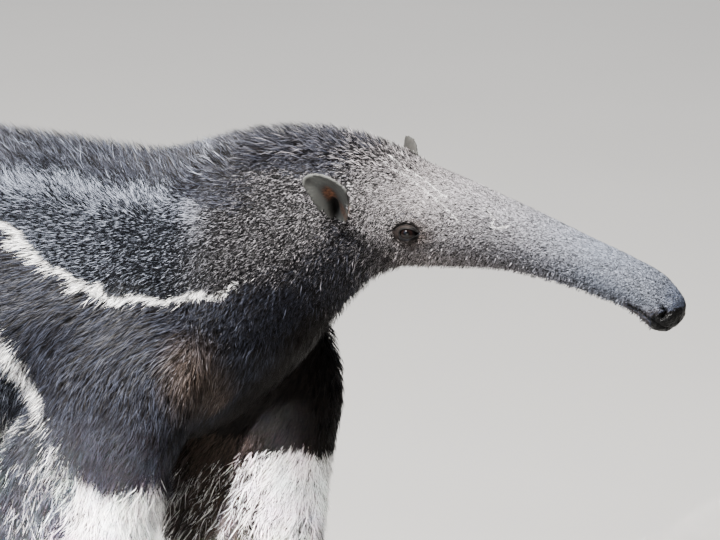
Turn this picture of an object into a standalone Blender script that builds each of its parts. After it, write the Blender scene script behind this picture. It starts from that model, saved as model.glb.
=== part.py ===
"""Giant anteater, life size, standing still with one forefoot ahead of the other.

Metres, +Z up. The animal faces +X, its right side is towards -Y, and the floor is z = 0.
Each solid reaches out to the tips of the coat. The trunk, neck, head and tail are one run of
upright sections that is parted where a person would name the parts; each leg is a stack of
level sections that is let into the trunk.
"""

import math
from collections import namedtuple

import bmesh
import bpy
from mathutils import Matrix, Vector

# Driving sizes
GAP = 0.0004  # between neighbouring solids
BACK_HEIGHT = 0.60  # withers, over the hair
HEAD_TURN = math.radians(7.0)  # the head looks this much to the animal's right
HEAD_TURN_FROM, HEAD_TURN_TO = 0.06, 0.20  # the neck bends between these x
HEAD_TURN_PIVOT = 0.12
TAIL_SWING = math.radians(10.0)  # the tail trails this much to the left
TAIL_SWING_FROM, TAIL_SWING_TO = 0.66, 1.10  # behind the withers
TAIL_SWING_PIVOT = 0.75
BODY_SIDES = 24  # facets round the body
LEG_SIDES = 18
RINGS_PER_STATION = 2

# A section of the body: centre, size, lean of its top towards the head, and how far its top and
# bottom edges draw in to a ridge
Section = namedtuple("Section", "name x z tall wide lean ridge keel")
BODY = (
    Section("nose_tip", 0.545, 0.5140, 0.036, 0.034, 40, 0.00, 0.00),
    Section("muzzle", 0.527, 0.5285, 0.042, 0.040, 31, 0.00, 0.00),
    Section("front_snout", 0.492, 0.5420, 0.047, 0.045, 21, 0.00, 0.00),
    Section("fore_snout", 0.450, 0.5520, 0.051, 0.049, 14, 0.00, 0.05),
    Section("mid_snout", 0.405, 0.5620, 0.059, 0.056, 12, 0.00, 0.08),
    Section("rear_snout", 0.364, 0.5680, 0.070, 0.063, 9, 0.00, 0.10),
    Section("snout_root", 0.3225, 0.5720, 0.0855, 0.075, 5, 0.04, 0.12),
    Section("eyes", 0.2805, 0.5750, 0.101, 0.090, 2, 0.06, 0.14),
    Section("brow", 0.243, 0.5765, 0.121, 0.106, -2, 0.08, 0.16),
    Section("ears", 0.208, 0.5730, 0.142, 0.119, -9, 0.10, 0.16),
    Section("nape", 0.168, 0.5590, 0.174, 0.140, -16, 0.14, 0.16),
    Section("mid_neck", 0.121, 0.5300, 0.216, 0.168, -17, 0.20, 0.14),
    Section("neck_root", 0.072, 0.4930, 0.256, 0.204, -14, 0.26, 0.14),
    Section("breast", 0.015, 0.4600, 0.290, 0.238, -8, 0.28, 0.18),
    Section("withers", -0.060, 0.4500, 0.306, 0.252, 0, 0.28, 0.22),
    Section("ribs", -0.180, 0.4420, 0.334, 0.260, 0, 0.26, 0.24),
    Section("belly", -0.320, 0.4340, 0.350, 0.266, 0, 0.24, 0.24),
    Section("loin", -0.450, 0.4400, 0.330, 0.262, 3, 0.22, 0.22),
    Section("rump", -0.555, 0.4460, 0.288, 0.236, 11, 0.18, 0.18),
    Section("tail_head", -0.640, 0.4310, 0.232, 0.178, 18, 0.14, 0.20),
    Section("tail_root", -0.720, 0.3900, 0.240, 0.142, 14, 0.12, 0.34),
    Section("upper_brush", -0.850, 0.3180, 0.300, 0.146, 11, 0.12, 0.44),
    Section("mid_brush", -1.010, 0.2500, 0.330, 0.158, 9, 0.12, 0.46),
    Section("lower_brush", -1.170, 0.2040, 0.286, 0.150, 8, 0.12, 0.44),
    Section("brush_end", -1.310, 0.1680, 0.200, 0.110, 8, 0.10, 0.36),
    Section("tail_tip", -1.410, 0.1420, 0.070, 0.044, 8, 0.00, 0.20),
)
# The named parts of that run, each from one section to another
BODY_PARTS = (
    ("nose", "nose_tip", "muzzle", "bare_skin"),
    ("snout", "muzzle", "eyes", "face_hair"),
    ("head", "eyes", "nape", "face_hair"),
    ("neck", "nape", "neck_root", "grizzled_hair"),
    ("chest", "neck_root", "ribs", "dark_hair"),
    ("trunk", "ribs", "loin", "grizzled_hair"),
    ("rump", "loin", "tail_head", "grizzled_hair"),
    ("tail_root", "tail_head", "upper_brush", "brush_hair"),
    ("tail_brush", "upper_brush", "lower_brush", "brush_hair"),
    ("tail_end", "lower_brush", "tail_tip", "brush_hair"),
)
# The lower jaw is the underside of the snout, below these angles of each section
JAW_FROM, JAW_TO = math.radians(226), math.radians(314)
NOSE_ROUND = 0.012  # how far the rounded nose stands out of its first section
TAIL_ROUND = 0.022
DOME_STEPS = 4  # rings of a rounded end
DOME_END = math.radians(86)  # where the dome stops in a small flat

# A level section of a leg: height, fore-and-aft centre, length, width and distance from the middle
Level = namedtuple("Level", "z x long wide out")
FORELEG = (
    Level(0.515, 0.004, 0.070, 0.034, 0.066),
    Level(0.470, 0.014, 0.138, 0.078, 0.080),
    Level(0.410, 0.026, 0.176, 0.100, 0.087),
    Level(0.345, 0.026, 0.176, 0.108, 0.089),
    Level(0.290, 0.003, 0.190, 0.106, 0.089),
    Level(0.225, -0.009, 0.188, 0.102, 0.089),
    Level(0.155, 0.003, 0.148, 0.094, 0.088),
    Level(0.105, 0.020, 0.112, 0.088, 0.087),
    Level(0.072, 0.028, 0.096, 0.086, 0.086),
)
HIND_LEG = (
    Level(0.510, -0.490, 0.110, 0.036, 0.078),
    Level(0.450, -0.486, 0.206, 0.086, 0.083),
    Level(0.370, -0.474, 0.244, 0.112, 0.086),
    Level(0.295, -0.466, 0.220, 0.114, 0.088),
    Level(0.225, -0.482, 0.170, 0.106, 0.088),
    Level(0.155, -0.510, 0.130, 0.096, 0.088),
    Level(0.095, -0.530, 0.104, 0.082, 0.088),
    Level(0.058, -0.536, 0.096, 0.076, 0.088),
)
LEG_SQUARE = 2.3  # 2 would be an ellipse
RINGS_PER_LEVEL = 2
JOINT_LEVEL = 4  # the elbow and the knee are at this level of the leg
FORE_SWING = {"right": -0.095, "left": 0.044}  # where each forefoot stands, fore and aft
HIND_SWING = {"right": 0.055, "left": -0.045}
SWING_FROM_HEIGHT = 0.49  # the legs lean forward or back below this, less and less
SWING_FADE = 2.6
SIDES = {"right": -1, "left": 1}

# Ears, eyes, feet and claws
EAR_AT = Vector((0.2180, 0.0610, 0.5870))  # root of the left ear
EAR_TALL, EAR_WIDE, EAR_THICK = 0.057, 0.048, 0.0032
EAR_FACETS = 8, 6  # across and along it
EAR_FOOT_SHARE, EAR_WIDEST, EAR_ROUNDING = 0.66, 0.45, 2.4
EAR_CUP = math.radians(150)  # the ear's width goes this far round its hollow
EAR_OPENING, EAR_DEPTH = 0.45, 0.8  # how much wider it opens at its tip, and how deep it is
EAR_SUNK = 0.22  # the share of it that is in the head
EAR_UP = Vector((-0.45, 0.62, 0.75))  # where the left ear points
EAR_OPENS = Vector((0.62, 0.78, 0.02))  # where its hollow faces
EYE_AT = Vector((0.2835, 0.0355, 0.5645))
EYE_RADIUS = 0.0105
FIST_LONG, FIST_WIDE, FIST_TALL = 0.112, 0.092, 0.112
FIST_AHEAD, FIST_MIDDLE_HEIGHT = 0.006, 0.044  # its middle, ahead of the wrist and over the floor
FOOT_SIDES = 14
HIND_FOOT_LONG, HIND_FOOT_WIDE, HIND_FOOT_TALL = 0.160, 0.080, 0.058
HIND_FOOT_MIDDLE_HEIGHT = 0.018
# How far along the hind foot from the heel, and how wide and tall it is there
FOOT_PROFILE = (
    (0.00, 0.50, 0.74),
    (0.08, 0.80, 1.25),
    (0.35, 0.92, 1.35),
    (0.62, 0.98, 1.00),
    (0.85, 1.00, 0.78),
    (1.00, 0.82, 0.56),
)
CLAW_FACETS = 5, 6  # along and round a claw
CLAW_TAPER, CLAW_TAPER_LATE = 0.93, 1.6  # how much of its thickness a claw loses, mostly late
CLAW_NARROW = 0.72  # width of a claw by its thickness
# A claw: name, length round its curve, thickness at its root, curl, and where its root is from
# the middle of the fist or of the toes
Claw = namedtuple("Claw", "name length thick curl ahead inwards up")
FORE_CLAWS = (
    Claw("1", 0.030, 0.009, 80, 0.010, 0.034, 0.012),
    Claw("2", 0.066, 0.014, 95, 0.022, 0.028, -0.006),
    Claw("3", 0.082, 0.017, 95, 0.034, 0.022, -0.026),
    Claw("4", 0.034, 0.010, 70, 0.051, -0.004, -0.020),
)
HIND_CLAWS = (
    Claw("1", 0.026, 0.0085, 50, -0.022, 0.029, 0.013),
    Claw("2", 0.031, 0.0090, 50, -0.012, 0.015, 0.015),
    Claw("3", 0.033, 0.0095, 50, -0.010, 0.000, 0.016),
    Claw("4", 0.031, 0.0090, 50, -0.012, -0.015, 0.015),
    Claw("5", 0.026, 0.0085, 50, -0.022, -0.029, 0.013),
)

COLOURS = {
    "bare_skin": ((0.020, 0.019, 0.020), 0.35),
    "face_hair": ((0.20, 0.19, 0.19), 0.75),
    "grizzled_hair": ((0.12, 0.12, 0.125), 0.80),
    "dark_hair": ((0.020, 0.021, 0.026), 0.75),
    "pale_hair": ((0.55, 0.54, 0.52), 0.85),
    "brush_hair": ((0.075, 0.060, 0.050), 0.85),
    "eye": ((0.012, 0.007, 0.005), 0.08),
    "horn": ((0.10, 0.085, 0.070), 0.40),
}


def clear_scene():
    for obj in list(bpy.data.objects):
        bpy.data.objects.remove(obj, do_unlink=True)


def make_materials():
    made = {}
    for name, (colour, roughness) in COLOURS.items():
        material = bpy.data.materials.new(name)
        material.use_nodes = True
        shader = material.node_tree.nodes["Principled BSDF"]
        shader.inputs["Base Color"].default_value = (*colour, 1.0)
        shader.inputs["Roughness"].default_value = roughness
        shader.inputs["Metallic"].default_value = 0.0
        made[name] = material
    return made


def smoothstep(value, start, end):
    share = min(1.0, max(0.0, (value - start) / (end - start)))
    return share * share * (3 - 2 * share)


def turned(point, angle, pivot):
    """The point turned about the upright line through x = pivot in the middle of the body."""
    offset = Vector((point.x - pivot, point.y, 0.0))
    offset.rotate(Matrix.Rotation(angle, 3, "Z"))
    return Vector((pivot + offset.x, offset.y, point.z))


def posed(point, at=None):
    """Bends the straight body: the head to the right, and the tail to the left. All the points of
    a section turn together, by what its place at along the body asks for."""
    at = point.x if at is None else at
    head = -HEAD_TURN * smoothstep(at, HEAD_TURN_FROM, HEAD_TURN_TO)
    point = turned(point, head, HEAD_TURN_PIVOT)
    tail = -TAIL_SWING * smoothstep(-at, TAIL_SWING_FROM, TAIL_SWING_TO)
    return turned(point, tail, -TAIL_SWING_PIVOT)


def blended(before, start, end, after, share):
    """A smooth curve through start and end, at share of the way between them."""
    squared, cubed = share * share, share**3
    return 0.5 * (
        2 * start
        + (end - before) * share
        + (2 * before - 5 * start + 4 * end - after) * squared
        + (3 * start - before - 3 * end + after) * cubed
    )


def between(rows, kind, steps):
    """The rows, with steps - 1 smooth ones put between each two. A name comes from the first."""
    found = []
    for i in range(len(rows) - 1):
        four = [rows[max(i - 1, 0)], rows[i], rows[i + 1], rows[min(i + 2, len(rows) - 1)]]
        for step in range(steps):
            columns = zip(*four)
            row = [
                v[1] if isinstance(v[1], str) else blended(*v, step / steps) for v in columns
            ]
            found.append(kind(*row))
    return found + [rows[-1]]


def body_ring(section, start=0.0, end=2 * math.pi, shift=0.0, size=1.0, grow=0.0):
    """Points of a section from one angle to another, with 0 at the left side and 90 degrees on top.
    shift moves it along the body, size and grow scale and widen it."""
    lean = math.radians(section.lean)
    up = Vector((math.sin(lean), 0, math.cos(lean)))
    ahead = Vector((math.cos(lean), 0, -math.sin(lean)))
    centre = Vector((section.x, 0, section.z)) + ahead * shift
    whole = end - start > 2 * math.pi - 1e-6
    count = BODY_SIDES if whole else round(BODY_SIDES * (end - start) / (2 * math.pi)) + 1
    points = []
    for i in range(count):
        angle = start + (end - start) * i / (count if whole else count - 1)
        height, side = math.sin(angle), math.cos(angle)
        draw_in = 1 - (section.ridge if height > 0 else section.keel) * height * height
        across = side * draw_in * (section.wide / 2 * size + grow)
        point = centre + Vector((0, across, 0)) + up * height * (section.tall / 2 * size + grow)
        points.append(posed(point, section.x))
    return points


def skinned(bm, rings):
    """Joins each ring to the next one, and closes both ends."""
    loops = []
    for ring in rings:
        verts = [bm.verts.new(p) for p in ring]
        loops.append([bm.edges.new((a, b)) for a, b in zip(verts, verts[1:] + verts[:1])])
    for first, second in zip(loops, loops[1:]):
        bmesh.ops.bridge_loops(bm, edges=first + second)
    for end in (loops[0], loops[-1]):
        bmesh.ops.contextual_create(bm, geom=end)
    bmesh.ops.recalc_face_normals(bm, faces=bm.faces)


def object_from(name, bm, material=None, sharp=50):
    mesh = bpy.data.meshes.new(name)
    bm.to_mesh(mesh)
    bm.free()
    mesh.shade_smooth()
    mesh.set_sharp_from_angle(angle=math.radians(sharp))
    if material:
        mesh.materials.append(material)
    obj = bpy.data.objects.new(name, mesh)
    bpy.context.scene.collection.objects.link(obj)
    return obj


def as_cutter(obj):
    obj.hide_render = True
    obj.display_type = "WIRE"
    return obj


def cut(obj, cutter, name="socket"):
    boolean = obj.modifiers.new(name, "BOOLEAN")
    boolean.operation = "DIFFERENCE"
    boolean.solver = "EXACT"
    boolean.object = cutter
    return obj


def loft(name, rings, material=None):
    bm = bmesh.new()
    skinned(bm, rings)
    return object_from(name, bm, material)


def rounded(section, depth, way):
    """Rings that close the end of the body in a dome of that depth, from the rim to the tip."""
    found = []
    for step in range(1, DOME_STEPS + 1):
        angle = DOME_END * step / DOME_STEPS
        found.append(
            body_ring(section, shift=way * depth * math.sin(angle), size=math.cos(angle))
        )
    return found


def body_run(first, last):
    """The smooth sections from one named section to another."""
    smooth = between(BODY, Section, RINGS_PER_STATION)
    names = [s.name for s in BODY]
    start = names.index(first) * RINGS_PER_STATION
    end = names.index(last) * RINGS_PER_STATION
    return smooth[start : end + 1]


def make_body(materials):
    made = {}
    for name, first, last, material in BODY_PARTS:
        run = body_run(first, last)
        arc = {"start": JAW_TO - 2 * math.pi, "end": JAW_FROM} if name == "snout" else {}
        rings = [body_ring(section, **arc) for section in run]
        rings[0] = body_ring(run[0], shift=-GAP / 2, **arc)
        rings[-1] = body_ring(run[-1], shift=GAP / 2, **arc)
        if name == "nose":
            rings = rounded(run[0], NOSE_ROUND, 1)[::-1] + [body_ring(run[0])] + rings[1:]
        if name == "tail_end":
            rings = rings[:-1] + [body_ring(run[-1])] + rounded(run[-1], TAIL_ROUND, -1)
        made[name] = loft(name, rings, materials[material])
    return made


def make_jaw(materials):
    """The lower jaw, a slip that closes the snout from below."""
    run = body_run("muzzle", "eyes")
    rings = [body_ring(section, JAW_FROM, JAW_TO) for section in run]
    rings[0] = body_ring(run[0], JAW_FROM, JAW_TO, shift=-GAP / 2)
    rings[-1] = body_ring(run[-1], JAW_FROM, JAW_TO, shift=GAP / 2)
    lowered = [[p - Vector((0, 0, GAP)) for p in ring] for ring in rings]
    return loft("lower_jaw", lowered, materials["face_hair"])


def swung(swing, height):
    return swing * max(0.0, 1 - (height / SWING_FROM_HEIGHT) ** SWING_FADE)


def leg_ring(level, side, swing, lift=0.0, grow=0.0):
    """Points of a level section of a leg, a little squarer than an ellipse."""
    centre = Vector((level.x + swung(swing, level.z), side * level.out, level.z + lift))
    points = []
    for i in range(LEG_SIDES):
        angle = 2 * math.pi * i / LEG_SIDES
        fore, out = math.cos(angle), math.sin(angle)
        squarer = (abs(fore) ** LEG_SQUARE + abs(out) ** LEG_SQUARE) ** (-1 / LEG_SQUARE)
        points.append(
            centre
            + Vector((fore * squarer * (level.long / 2 + grow), 0, 0))
            + Vector((0, out * squarer * (level.wide / 2 + grow), 0))
        )
    return points


def make_leg(levels, names, side_name, swing, materials):
    """An upper and a lower leg, and a cutter that lets the upper one into the trunk."""
    side = SIDES[side_name]
    run = between(levels, Level, RINGS_PER_LEVEL)
    joint = JOINT_LEVEL * RINGS_PER_LEVEL
    upper = [leg_ring(level, side, swing) for level in run[: joint + 1]]
    upper[-1] = leg_ring(run[joint], side, swing, lift=GAP / 2)
    lower = [leg_ring(level, side, swing) for level in run[joint:]]
    lower[0] = leg_ring(run[joint], side, swing, lift=-GAP / 2)
    lower[-1] = leg_ring(run[-1], side, swing, lift=GAP / 2)
    upper_name, lower_name = (f"{side_name}_{name}" for name in names)
    loft(upper_name, upper, materials["dark_hair"])
    loft(lower_name, lower, materials["pale_hair"])
    wider = [leg_ring(level, side, swing, grow=GAP) for level in run[: joint + 1]]
    wider[0] = leg_ring(run[0], side, swing, lift=GAP, grow=GAP)
    return as_cutter(loft(f"{upper_name}_socket", wider))


def level_cut(bm, height, keep_below):
    """Cuts the shape level at a height and closes it with a flat face."""
    cut_geometry = bmesh.ops.bisect_plane(
        bm,
        geom=list(bm.verts) + list(bm.edges) + list(bm.faces),
        plane_co=(0, 0, height),
        plane_no=(0, 0, 1 if keep_below else -1),
        clear_outer=True,
    )
    rim = [g for g in cut_geometry["geom_cut"] if isinstance(g, bmesh.types.BMEdge)]
    bmesh.ops.contextual_create(bm, geom=rim)


def make_fist(side_name, material=None, grow=0.0):
    """A forefoot. The animal walks on its knuckles, so it is a fist with a flat underside."""
    bm = bmesh.new()
    bmesh.ops.create_uvsphere(bm, u_segments=16, v_segments=8, radius=1.0)
    size = Vector((FIST_LONG, FIST_WIDE, FIST_TALL)) / 2 + Vector((grow, grow, grow))
    bmesh.ops.scale(bm, vec=size, verts=bm.verts)
    bmesh.ops.translate(bm, vec=fist_middle(side_name), verts=bm.verts)
    level_cut(bm, 0.0, keep_below=False)
    level_cut(bm, FORELEG[-1].z - GAP / 2, keep_below=True)
    bmesh.ops.recalc_face_normals(bm, faces=bm.faces)
    return object_from(f"{side_name}_forefoot", bm, material)


def fist_middle(side_name):
    foot = FORELEG[-1]
    swing = swung(FORE_SWING[side_name], foot.z)
    ahead = foot.x + swing + FIST_AHEAD
    return Vector((ahead, SIDES[side_name] * foot.out, FIST_MIDDLE_HEIGHT))


def make_hind_foot(side_name, material=None, grow=0.0):
    """A hind foot, flat on the floor from heel to toes."""
    heel = heel_of(side_name)
    rings = []
    for along, wide, tall in FOOT_PROFILE:
        points = []
        for i in range(FOOT_SIDES):
            angle = 2 * math.pi * i / FOOT_SIDES
            across = math.cos(angle) * (HIND_FOOT_WIDE / 2 * wide + grow)
            high = math.sin(angle) * (HIND_FOOT_TALL / 2 * tall + grow)
            height = HIND_FOOT_MIDDLE_HEIGHT + high
            points.append(heel + Vector((HIND_FOOT_LONG * along, across, height)))
        rings.append(points)
    rings[-1] = [p + Vector((grow, 0, 0)) for p in rings[-1]]
    bm = bmesh.new()
    skinned(bm, rings)
    level_cut(bm, 0.0, keep_below=False)
    level_cut(bm, HIND_LEG[-1].z - GAP / 2, keep_below=True)
    bmesh.ops.recalc_face_normals(bm, faces=bm.faces)
    return object_from(f"{side_name}_hind_foot", bm, material)


def heel_of(side_name):
    ankle = HIND_LEG[-1]
    swing = swung(HIND_SWING[side_name], ankle.z)
    return Vector((ankle.x + swing - ankle.long / 2, SIDES[side_name] * ankle.out, 0))


def make_claw(name, claw, root, ahead, down, material):
    """A horn claw that leaves root along ahead and curls towards down."""
    steps, sides = CLAW_FACETS
    radius = claw.length / math.radians(claw.curl)
    across = ahead.cross(down).normalized()
    rings = []
    for step in range(steps + 1):
        share = step / steps
        angle = math.radians(claw.curl) * share
        centre = root + ahead * radius * math.sin(angle) + down * radius * (1 - math.cos(angle))
        outwards = (ahead * math.sin(angle) - down * math.cos(angle)).normalized()
        thick = claw.thick / 2 * (1 - CLAW_TAPER * share**CLAW_TAPER_LATE)
        rings.append(
            [
                centre
                + across * math.cos(2 * math.pi * i / sides) * thick * CLAW_NARROW
                + outwards * math.sin(2 * math.pi * i / sides) * thick
                for i in range(sides)
            ]
        )
    return loft(name, rings, material)


def ear_point(across, along):
    """A point of the ear's leaf, with across from -1 to 1 and along from 0 at its foot to 1. The
    leaf widens from its foot, then rounds off, and curls round its hollow."""
    widening = EAR_FOOT_SHARE + (1 - EAR_FOOT_SHARE) * min(1.0, along / EAR_WIDEST)
    past = max(0.0, (along - EAR_WIDEST) / (1 - EAR_WIDEST))
    rounding = math.sqrt(max(0.0, 1 - past**EAR_ROUNDING))
    half = max(EAR_WIDE / 2 * widening * rounding, EAR_THICK)
    bend = EAR_CUP / 2 * (1 - EAR_OPENING * along)
    radius = half / math.sin(bend)
    hollow = radius * (1 - math.cos(across * bend)) * EAR_DEPTH
    return Vector((radius * math.sin(across * bend), hollow, EAR_TALL * (along - EAR_SUNK)))


def make_ear(side_name, materials):
    """A small round ear, a cupped leaf that opens outwards and forwards."""
    mirror = Vector((1, SIDES[side_name], 1))
    ear_up = (EAR_UP * mirror).normalized()
    hollow_way = EAR_OPENS * mirror
    hollow_way = (hollow_way - ear_up * hollow_way.dot(ear_up)).normalized()
    width_way = hollow_way.cross(ear_up).normalized()
    frame = Matrix((width_way, hollow_way, ear_up)).transposed()
    bm = bmesh.new()
    columns, rows = EAR_FACETS
    bmesh.ops.create_grid(bm, x_segments=columns, y_segments=rows, size=0.5)
    for vert in bm.verts:
        point = ear_point(vert.co.x * 2, vert.co.y + 0.5)
        vert.co = posed(frame @ point + EAR_AT * mirror, EAR_AT.x)
    bmesh.ops.recalc_face_normals(bm, faces=bm.faces)
    bmesh.ops.solidify(bm, geom=list(bm.faces), thickness=EAR_THICK)
    bmesh.ops.recalc_face_normals(bm, faces=bm.faces)
    return object_from(f"{side_name}_ear", bm, materials["face_hair"])


def make_eye(side_name, radius, material=None):
    bm = bmesh.new()
    bmesh.ops.create_uvsphere(bm, u_segments=12, v_segments=8, radius=radius)
    outwards = Matrix.Rotation(math.pi / 2, 3, "X")
    bmesh.ops.rotate(bm, cent=(0, 0, 0), matrix=outwards, verts=bm.verts)
    centre = posed(EYE_AT * Vector((1, SIDES[side_name], 1)))
    bmesh.ops.translate(bm, vec=centre, verts=bm.verts)
    return object_from(f"{side_name}_eye", bm, material)


def recentre():
    """Puts the middle of the whole model's box over the origin, on the floor."""
    bpy.context.view_layer.update()
    shown = [o for o in bpy.context.scene.objects if not o.hide_render]
    corners = [o.matrix_world @ v.co for o in shown for v in o.data.vertices]
    low = Vector(min(c[i] for c in corners) for i in range(3))
    high = Vector(max(c[i] for c in corners) for i in range(3))
    middle = (low + high) / 2
    for obj in bpy.context.scene.objects:
        obj.location -= Vector((middle.x, middle.y, low.z))


def make_legs(side_name, body, materials):
    """The two legs of one side, each let into the trunk, with their feet and claws."""
    fore = make_leg(FORELEG, ("upper_arm", "forearm"), side_name, FORE_SWING[side_name], materials)
    hind = make_leg(HIND_LEG, ("thigh", "shank"), side_name, HIND_SWING[side_name], materials)
    for name in ("neck", "chest", "trunk"):
        cut(body[name], fore, f"{side_name}_shoulder")
    for name in ("trunk", "rump"):
        cut(body[name], hind, f"{side_name}_hip")
    inwards = Vector((0, -SIDES[side_name], 0))
    ahead, back, down = Vector((1, 0, 0)), Vector((-1, 0, 0)), Vector((0, 0, -1))
    toes = heel_of(side_name) + ahead * HIND_FOOT_LONG
    feet = (
        ("fore_claw", make_fist, FORE_CLAWS, fist_middle(side_name), inwards, back),
        ("hind_claw", make_hind_foot, HIND_CLAWS, toes, ahead, down),
    )
    for claw_name, make_foot, claws, middle, leaves, curls in feet:
        make_foot(side_name, materials["dark_hair"])
        clearance = as_cutter(make_foot(side_name, grow=GAP))
        for claw in claws:
            root = middle + ahead * claw.ahead + inwards * claw.inwards - down * claw.up
            name = f"{side_name}_{claw_name}_{claw.name}"
            cut(make_claw(name, claw, root, leaves, curls, materials["horn"]), clearance)


def make_eyes_and_ears(side_name, body, scalp, materials):
    make_eye(side_name, EYE_RADIUS, materials["eye"])
    socket = as_cutter(make_eye(side_name, EYE_RADIUS + GAP))
    cut(body["head"], socket)
    cut(body["snout"], socket)
    cut(make_ear(side_name, materials), scalp)


def main():
    clear_scene()
    materials = make_materials()
    body = make_body(materials)
    make_jaw(materials)
    wider = [body_ring(section, grow=GAP) for section in body_run("snout_root", "mid_neck")]
    scalp = as_cutter(loft("scalp", wider))
    for side_name in SIDES:
        make_legs(side_name, body, materials)
        make_eyes_and_ears(side_name, body, scalp, materials)
    recentre()


main()
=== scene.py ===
import math

import bmesh
import bpy
import numpy as np
from mathutils import Matrix, Vector
from mathutils.bvhtree import BVHTree


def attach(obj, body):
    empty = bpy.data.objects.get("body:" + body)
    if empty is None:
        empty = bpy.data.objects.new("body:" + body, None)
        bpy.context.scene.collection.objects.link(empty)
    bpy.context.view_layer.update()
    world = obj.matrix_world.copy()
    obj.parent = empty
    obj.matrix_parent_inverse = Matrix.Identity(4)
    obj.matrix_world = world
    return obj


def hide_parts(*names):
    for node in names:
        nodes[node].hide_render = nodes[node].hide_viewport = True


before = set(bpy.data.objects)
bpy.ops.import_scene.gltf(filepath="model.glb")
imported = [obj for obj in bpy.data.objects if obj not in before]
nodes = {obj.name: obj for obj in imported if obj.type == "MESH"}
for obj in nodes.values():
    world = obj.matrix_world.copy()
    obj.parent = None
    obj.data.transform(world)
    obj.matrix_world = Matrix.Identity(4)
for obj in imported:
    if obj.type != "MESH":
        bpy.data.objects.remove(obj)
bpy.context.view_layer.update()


# Camera: a long lens held low beside the head, looking a little down and from ahead of the
# shoulder, so that the head, the neck and the top of the forelegs fill the picture.
EYE_MIDDLE = Vector((0.7106, -0.0587, 0.5645))
VIEW_TURN = math.radians(24)
VIEW_DROP = math.radians(15)
VIEW_REACH = 5.0
PIXEL = 0.00096
EYE_ACROSS, EYE_ABOVE = 49, 37
LENS = 260.4

picture_right = Vector((math.cos(VIEW_TURN), math.sin(VIEW_TURN), 0))
view_way = Vector(
    (
        -math.sin(VIEW_TURN) * math.cos(VIEW_DROP),
        math.cos(VIEW_TURN) * math.cos(VIEW_DROP),
        -math.sin(VIEW_DROP),
    )
)
picture_up = picture_right.cross(view_way)
camera_data = bpy.data.cameras.new("camera")
camera_data.lens = LENS
camera_data.sensor_width = 36
camera_data.clip_end = 300
camera = bpy.data.objects.new("camera", camera_data)
camera.location = (
    EYE_MIDDLE
    - view_way * VIEW_REACH
    - picture_right * EYE_ACROSS * PIXEL
    - picture_up * EYE_ABOVE * PIXEL
)
camera.rotation_euler = view_way.to_track_quat("-Z", "Y").to_euler()
bpy.context.scene.collection.objects.link(camera)
bpy.context.scene.camera = camera


# Floor and light: a pale matt studio floor that runs far out, one wide warm lamp high up and a
# little behind the animal, a broad cool fill on the camera's side, and an even pale sky.
def new_material(name, roughness=0.6, specular=0.5):
    material = bpy.data.materials.new(name)
    material.use_nodes = True
    shader = material.node_tree.nodes["Principled BSDF"]
    shader.inputs["Roughness"].default_value = roughness
    shader.inputs["Specular IOR Level"].default_value = specular
    return material, material.node_tree.nodes, material.node_tree.links, shader


def mesh_object(name, mesh, *materials):
    thing = bpy.data.objects.new(name, mesh)
    bpy.context.scene.collection.objects.link(thing)
    for material in materials:
        mesh.materials.append(material)
    return thing


floor_mesh = bpy.data.meshes.new("floor")
floor_bm = bmesh.new()
bmesh.ops.create_circle(floor_bm, cap_ends=True, segments=96, radius=90)
floor_bm.to_mesh(floor_mesh)
floor_bm.free()
floor_paint, floor_nodes, floor_links, floor_shader = new_material("pale_floor", 0.85, 0.2)
floor_place = floor_nodes.new("ShaderNodeTexCoord")
floor_noise = floor_nodes.new("ShaderNodeTexNoise")
floor_noise.inputs["Scale"].default_value = 1.7
floor_noise.inputs["Detail"].default_value = 3
floor_ramp = floor_nodes.new("ShaderNodeValToRGB")
floor_ramp.color_ramp.elements[0].color = (0.180, 0.177, 0.172, 1)
floor_ramp.color_ramp.elements[1].color = (0.200, 0.197, 0.191, 1)
floor_links.new(floor_place.outputs["Object"], floor_noise.inputs["Vector"])
floor_links.new(floor_noise.outputs["Fac"], floor_ramp.inputs["Fac"])
floor_links.new(floor_ramp.outputs["Color"], floor_shader.inputs["Base Color"])
mesh_object("floor", floor_mesh, floor_paint)


def add_lamp(name, place, aim, size, power, colour, spread=180):
    data = bpy.data.lights.new(name, "AREA")
    data.size = size
    data.energy = power
    data.color = colour
    data.spread = math.radians(spread)
    lamp = bpy.data.objects.new(name, data)
    lamp.location = place
    lamp.rotation_euler = (Vector(aim) - Vector(place)).to_track_quat("-Z", "Y").to_euler()
    bpy.context.scene.collection.objects.link(lamp)


add_lamp("high_lamp", (0.20, -1.72, 3.85), (0.45, 0, 0.40), 0.6, 1900, (1.0, 0.97, 0.93))
add_lamp("side_fill", (-1.2, -4.0, 2.4), (0.3, 0, 0.4), 2.6, 80, (0.50, 0.68, 1.0))
add_lamp("leg_lamp", (0.16, -2.7, 0.70), (0.43, -0.11, 0.205), 0.2, 2.4, (1.0, 0.98, 0.95), spread=4)
add_lamp("low_fill", (0.95, -3.0, 0.35), (0.74, 0, 0.53), 1.5, 31, (1.0, 0.93, 0.86))
add_lamp("eye_lamp", (0.02, -2.37, 2.35), (0.71, -0.06, 0.56), 0.26, 60, (1.0, 0.98, 0.96))
add_lamp("far_fill", (-1.0, 4.2, 2.6), (0.0, 0, 0.3), 3.0, 170, (0.95, 0.97, 1.0))
sky = bpy.data.worlds.new("studio")
sky.use_nodes = True
sky.node_tree.nodes["Background"].inputs["Color"].default_value = (0.86, 0.91, 1.0, 1)
sky.node_tree.nodes["Background"].inputs["Strength"].default_value = 0.28
bpy.context.scene.world = sky


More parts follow.
